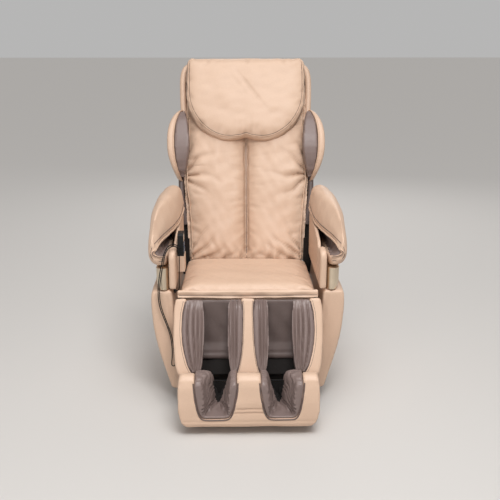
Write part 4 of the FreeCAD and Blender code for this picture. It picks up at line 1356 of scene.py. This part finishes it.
    def skirt(self) -> None:
        """The padded side panel, bellied at its top and drawn in to the floor."""
        profile = [(-.328, .047), (.308, .047), (.308, .205), (.133, .447), (-.328, .447)]
        form = Form().slab(profile, "x", 0, 1)
        form.slice("z", np.linspace(.09, .43, 13))

        def flank(place: Vector) -> Vector:
            if place.x > .5:
                place.x = blend(place.z, (.045, .105, .160, .212, .270, .330, .405, .449),
                                (.290, .308, .3235, .337, .349, .3565, .3598, .356))
            else:
                place.x = .282 - .040 * (.449 - place.z) / .404
            return place
        form.taper(flank)
        item = remesh(form.object("skirt"), .0065, 10)

        def shape(points: Array, facing: Array) -> Array:
            outer = step(facing[:, 0], .5, .9)
            front = step(-facing[:, 1], .5, .9)
            line = -.0028 * bell(points[:, 1] + .262, .004) * outer
            inset = -.0022 * bell(points[:, 0] - .004 - (.282 - .040 * (.449 - points[:, 2]) / .404)
                                  - .012, .003) * front
            puff = .0020 * outer
            return line + inset + puff + .0010 * ripple(points, .17, 61)
        wear(swell(item, shape), Slot.CREAM)
        self.give([item], "side_panel", Slot.CREAM, "side_skirt")

    def build(self) -> None:
        """Make every piece of the arm."""
        self.hood()
        self.lining()
        self.post()
        self.panel()
        self.closer()
        self.trim()
        self.skirt()


# ================================================================ leg rest
@dataclass
class LegRest:
    """The leg rest: cream panels, a taupe channel wall darkened as painted shade, and pleated
    airbags.
    """

    foot: float = -0.272
    heights: tuple[float, ...] = (-.272, -.262, -.235, -.192, -.150, -.107, -.047, -.020, .007)
    outer: tuple[float, ...] = (.2500, .2560, .2640, .2690, .2710, .2720, .2715, .2700, .2640)
    panel_in: tuple[float, ...] = (.1960, .2040, .2180, .2300, .2370, .2400, .2370, .2310, .2250)
    middle: tuple[float, ...] = (.0460, .0420, .0345, .0275, .0240, .0220, .0205, .0215, .0240)

    def edge(self, values: Sequence[float], height: float) -> float:
        """One of the edges above at a height along the leg rest."""
        return blend(height, self.heights, values)

    def upright(self, profile: Sequence[Flat], low: Sequence[float], high: Sequence[float],
                inset: float = 0.0) -> Form:
        """A solid on a side view, between two edges that wander down the leg rest."""
        form = Form().slab(profile, "x", 0, 1).slice("z", self.heights[1:-1])

        def spread(place: Vector) -> Vector:
            if place.x < .5:
                place.x = self.edge(low, place.z) + inset
            else:
                place.x = self.edge(high, place.z) - inset
            return place
        return form.taper(spread)

    def shell(self) -> None:
        """The cream body: two side panels, the middle divider and the back wall."""
        rear = [(-.022, .006), (-.023, self.foot + .002), (.070, self.foot + .002), (.070, -.142),
                (.008, -.004), (.004, .006)]
        centre = self.upright(rear, [-part for part in self.middle], self.middle)
        parts = [remesh(centre.object("calf_middle"), .005, 6)]
        right = remesh(self.upright(rear, self.panel_in, self.outer).object("calf_side"), .005, 7)
        parts += [right, flipped(right)]
        for item in parts:
            swell(item, lambda points, facing: .0014 + .0008 * ripple(points, .11, 70))
            wear(item, Slot.CREAM)
        wall = Form().slab([(-.0175, .003), (.030, -.100), (.0485, -.150), (.050, -.205),
                            (.058, -.214), (.070, -.214), (.070, -.142), (.006, .003)], "x",
                           -.230, .230)
        wall = remesh(wall.object("calf_wall"), .006, 3)

        def shape(points: Array, facing: Array) -> Array:
            front = step(-facing[:, 1], .2, .8)
            return front * (.0016 * ripple(points, .07, 71) - .003 * bell(points[:, 2] + .19, .004))
        # The channel's back wall wears the darkened taupe: painted shade in the deep channel.
        wear(swell(wall, shape), Trim.DEEP)
        # Painted shade: a near-black sheet behind the channel's lower part, in the gap above the
        # foot rest.
        back = Form().slab([(.062, -.200), (.062, self.foot + .003), (.070, self.foot + .003),
                            (.070, -.200)], "x", -.245, .245)
        back = wear(back.object("calf_back"), Trim.SHADE)
        lines = []
        welt, stitch = (.006, -.004, .0020, .0005), (.008, -.002, .0006, .0001)
        for sign, side in ((-1, parts[2]), (1, right)):
            for values, item, shift, row in (
                    (self.panel_in, side, .0015, welt), (self.panel_in, side, .010, stitch),
                    (self.middle, parts[0], -.0015, welt), (self.middle, parts[0], -.0065, stitch)):
                above, top, radius, lift = row
                line = [(sign * (self.edge(values, height) + shift), -.0225, height)
                        for height in np.linspace(self.foot + above, top, 18)]
                lines.append(seam(item, line, radius, dark=True, lift=lift))
        finish(join([*parts, wall, back, *lines]), "leg_rest_body", "leg_rest", Slot.CREAM,
               ["calf_shell"])

    def bags(self, side: Side) -> None:
        """The two pleated airbags of one channel."""
        profile = [(-.002, .004), (-.0165, .0025), (-.0235, -.030), (-.0250, -.150),
                   (-.0225, self.foot + .012), (-.012, self.foot + .004),
                   (.044, self.foot + .004), (.044, -.158), (.004, -.050), (-.0145, -.008)]
        inner_far = (.0600, .0640, .0700, .0740, .0760, .0765, .0760, .0750, .0720)
        outer_near = (.1780, .1730, .1670, .1630, .1610, .1600, .1610, .1630, .1660)
        made = []
        for low, high, tucks, seed in ((self.middle, inner_far, (.34, .62, .86), 81),
                                       (outer_near, self.panel_in, (.10, .29, .50, .78), 82)):
            form = self.upright(profile, low, high, .0015)
            item = remesh(form.object("bag"), .0032, 4)

            def shape(points: Array, facing: Array, low: Sequence[float] = low,
                      high: Sequence[float] = high, tucks: Sequence[float] = tucks,
                      seed: int = seed) -> Array:
                start = np.interp(points[:, 2], self.heights, low)
                end = np.interp(points[:, 2], self.heights, high)
                across = np.clip((points[:, 0] - start) / (end - start), 0, 1)
                share = np.clip((points[:, 2] - self.foot) / -self.foot, 0, 1)
                pull = np.sin(np.pi * share) ** .6
                wander = .035 * ripple(points * (.2, .2, 1), .16, seed)
                width = .0042 / (end - start)
                pleat = .0045 * np.sin(np.pi * across) ** .5
                for number, tuck in enumerate(tucks):
                    sway = wander * (1 - .5 * (number % 2))
                    run = np.clip(1.25 - .4 * (number % 2) * share, 0, 1)
                    pleat -= .0085 * run * bell(across + sway - tuck, width)
                front = step(-facing[:, 1], .05, .6)
                wall = step(facing[:, 0] * (-1.0 if seed == 82 else 1.0), .4, .9)
                deep = bell(np.sin(points[:, 1] * 70 + 30 * wander), .30)
                gather = bell(share - 1, .09) + bell(share, .09)
                radial = np.sin(points[:, 0] * 420 + 20 * wander)
                return front * (pleat * (.45 + .55 * pull) + .0020 * gather * radial
                                + .003 * pull) - .0050 * wall * deep * pull
            swell(item, shape)
            made.append(wear(item, Slot.TAUPE))
        made = on_side(made, side)
        finish(join(made), f"calf_cushions_{side.word}", "leg_rest", Slot.TAUPE,
               [f"calf_airbags_{side.word}"], .55)

    def build(self) -> None:
        """Make the leg rest."""
        self.shell()
        for side in Side:
            self.bags(side)


# ================================================================ foot rest
@dataclass
class FootRest:
    """The foot rest: a cream block with two gathered wells."""

    def shell(self) -> None:
        """The padded block, with its wells cut out and seams across its middle."""
        profile = [(-.605, .052), (-.598, .037), (-.580, .031), (-.425, .031), (-.407, .050),
                   (-.407, .120), (-.478, .149), (-.497, .190), (-.556, .2245), (-.576, .2235),
                   (-.590, .210), (-.598, .185), (-.605, .130)]
        form = Form().slab(profile, "x", -1, 1)
        form.slice("z", (.042, .055, .075, .100, .125, .150, .180, .200, .215))

        def pinch(place: Vector) -> Vector:
            width = blend(place.z, (.031, .042, .055, .075, .100, .150, .200, .226),
                          (.214, .227, .2355, .2425, .2465, .2475, .2445, .2380))
            place.x = math.copysign(width, place.x)
            return place
        item = form.taper(pinch).object("foot")
        for sign in (-1, 1):
            well = [(sign * x, z) for x, z in (
                (.0405, .26), (.0410, .180), (.0480, .120), (.0575, .088), (.0680, .0700),
                (.0850, .0665), (.1500, .0665), (.1660, .0700), (.1770, .090), (.1845, .120),
                (.1895, .180), (.1900, .26))]
            carve(item, Form().slab(well, "y", -.66, -.430).object("well"))
        remesh(item, .005, 6)

        def shape(points: Array, facing: Array) -> Array:
            front = step(-facing[:, 1], .5, .9)
            middle = step(.058 - np.abs(points[:, 0]), 0, .008)
            lines = bell(points[:, 2] - .108, .0026) + bell(points[:, 2] - .092, .0026)
            band = bell(points[:, 2] - .0600, .0028)
            return front * (-.0030 * lines * middle - .0026 * band) + .0012 \
                + .0010 * ripple(points, .1, 91)
        wear(swell(item, shape), Slot.CREAM)
        rims = []
        for sign in (-1, 1):
            rim = [(.0400, .205), (.0405, .180), (.0475, .120), (.0570, .087), (.0680, .0690),
                   (.0850, .0655), (.1180, .0650), (.1500, .0655), (.1660, .0690), (.1775, .089),
                   (.1850, .120), (.1900, .180), (.1905, .205)]
            rims.append(seam(item, [(sign * x, -.604, z) for x, z in rim], .0026, dark=True))
        finish(join([item, *rims]), "foot_rest_body", "foot_rest", Slot.CREAM, ["foot_shell"])

    def liner(self, side: Side) -> None:
        """The gathered lining of one well: soft walls that close on the heel, over a sole."""
        depths = (-.600, -.590, -.570, -.550, -.530, -.512, -.500, -.490, -.475, -.455, -.436)
        rings = []
        for deep in depths:
            top = blend(
                deep, (-.600, -.585, -.560, -.535, -.512, -.499, -.484, -.478, -.434),
                (.196, .208, .214, .216, .214, .204, .177, .158, .130))
            closing = blend(deep, (-.600, -.570, -.540, -.500), (0, .25, .68, 1))
            wall, outer = .011 + .003 * closing, .011 + .034 * closing
            low_in, low_out = .070 + .029 * closing, .164 - .046 * closing
            floor = .078 + .004 * closing
            ring = [(.0415, top - .010), (.0420, .170), (.0500, .118), (.0600, .086),
                    (.0700, .0700), (.0900, .0685), (.1450, .0685), (.1640, .0700),
                    (.1755, .088), (.1830, .118),
                    (.1885, .170), (.1890, top - .010), (.1870, top), (.1790 - outer * .4, top),
                    (.1760 - outer, top - .010),
                    (.1700 - outer * 1.05, (top + floor) / 2), (low_out, floor + .012),
                    (low_out - .005, floor), ((low_in + low_out) / 2, floor - .002),
                    (low_in + .005, floor), (low_in, floor + .012),
                    (.0600 + wall + .010 * closing, (top + floor) / 2),
                    (.0540 + wall, top - .010), (.0510 + wall * .4, top), (.0435, top)]
            rings.append([(x, deep, z) for x, z in rounded(ring, 72)])
        item = remesh(Form().loft(rings).object("liner"), .0038, 2)

        def shape(points: Array, facing: Array) -> Array:
            up, deep = points[:, 2], points[:, 1]
            inward = step(-facing[:, 0] * np.sign(points[:, 0] - .115), .1, .7)
            lips = step(facing[:, 2], .4, .9) * (up > .12)
            wander = 1.5 * ripple(points, .055, 95)
            fan = np.arctan2(up - .055, deep + .66)
            gather = np.abs(np.sin(fan * 24 + wander)) ** .5 - .62
            tight = .45 + .55 * bell(up - .105, .05)
            sole = step(facing[:, 2], .5, .9) * (up < .10) * step(deep, -.59, -.53)
            spread = np.arctan2(points[:, 0] - .107, -.47 - deep)
            pulled = .0022 * sole * np.sin(spread * 16 + wander)
            rim = np.sin(deep * 300 + 2 * wander)
            return inward * .0100 * gather * tight + .0012 * lips * rim + pulled
        wear(swell(item, shape), Slot.TAUPE)
        # Painted shade: the liner's faces deep in the rear of the well take the near-black, where
        # the well falls into shadow.
        item.data.materials.append(LOOKS[Trim.SHADE])
        for face in item.data.polygons:
            spot = face.center
            inside = .062 < spot.x < .178 and spot.z < .168
            face.material_index = int(inside and spot.y > -.503 - .10 * (spot.z - .078))
        # Painted shade: a near-black sheet across the heel and over the shell's rear top edge.
        heel = [(.046, .069), (.184, .069), (.190, .128), (.041, .128)]
        cover = [(-.4345, .1340), (-.4035, .1225), (-.4035, .1190), (-.4345, .1300)]
        form = Form().slab(heel, "y", -.4345, -.4325).slab(cover, "x", .041, .190)
        back = wear(form.object("heel"), Trim.SHADE)
        finish(join(on_side([item, back], side)), f"foot_cushion_{side.word}", "foot_rest",
               Slot.TAUPE, [f"foot_liner_{side.word}"], .5)

    def build(self) -> None:
        """Make the foot rest."""
        self.shell()
        for side in Side:
            self.liner(side)


# ================================================================ hard parts kept from the CAD
def dress_hard_parts() -> None:
    """Give each of the CAD's own pieces the finish of its slot."""
    parts = frame["record"]["subparts"]
    for part in parts:
        wear(frame["nodes"][part["node"]], Slot(part["material_slot"]))
    log.info("dressed %d nodes", len(parts))


def main() -> None:
    """Build the chair's looks in order."""
    logging.basicConfig(level=logging.INFO, format="%(message)s")
    make_finishes()
    Studio().build()
    Lead().build()
    dress_hard_parts()
    Backrest().build()
    Seat().build()
    for side in Side:
        Arm(side).build()
    LegRest().build()
    FootRest().build()


if __name__ == "__main__":
    main()
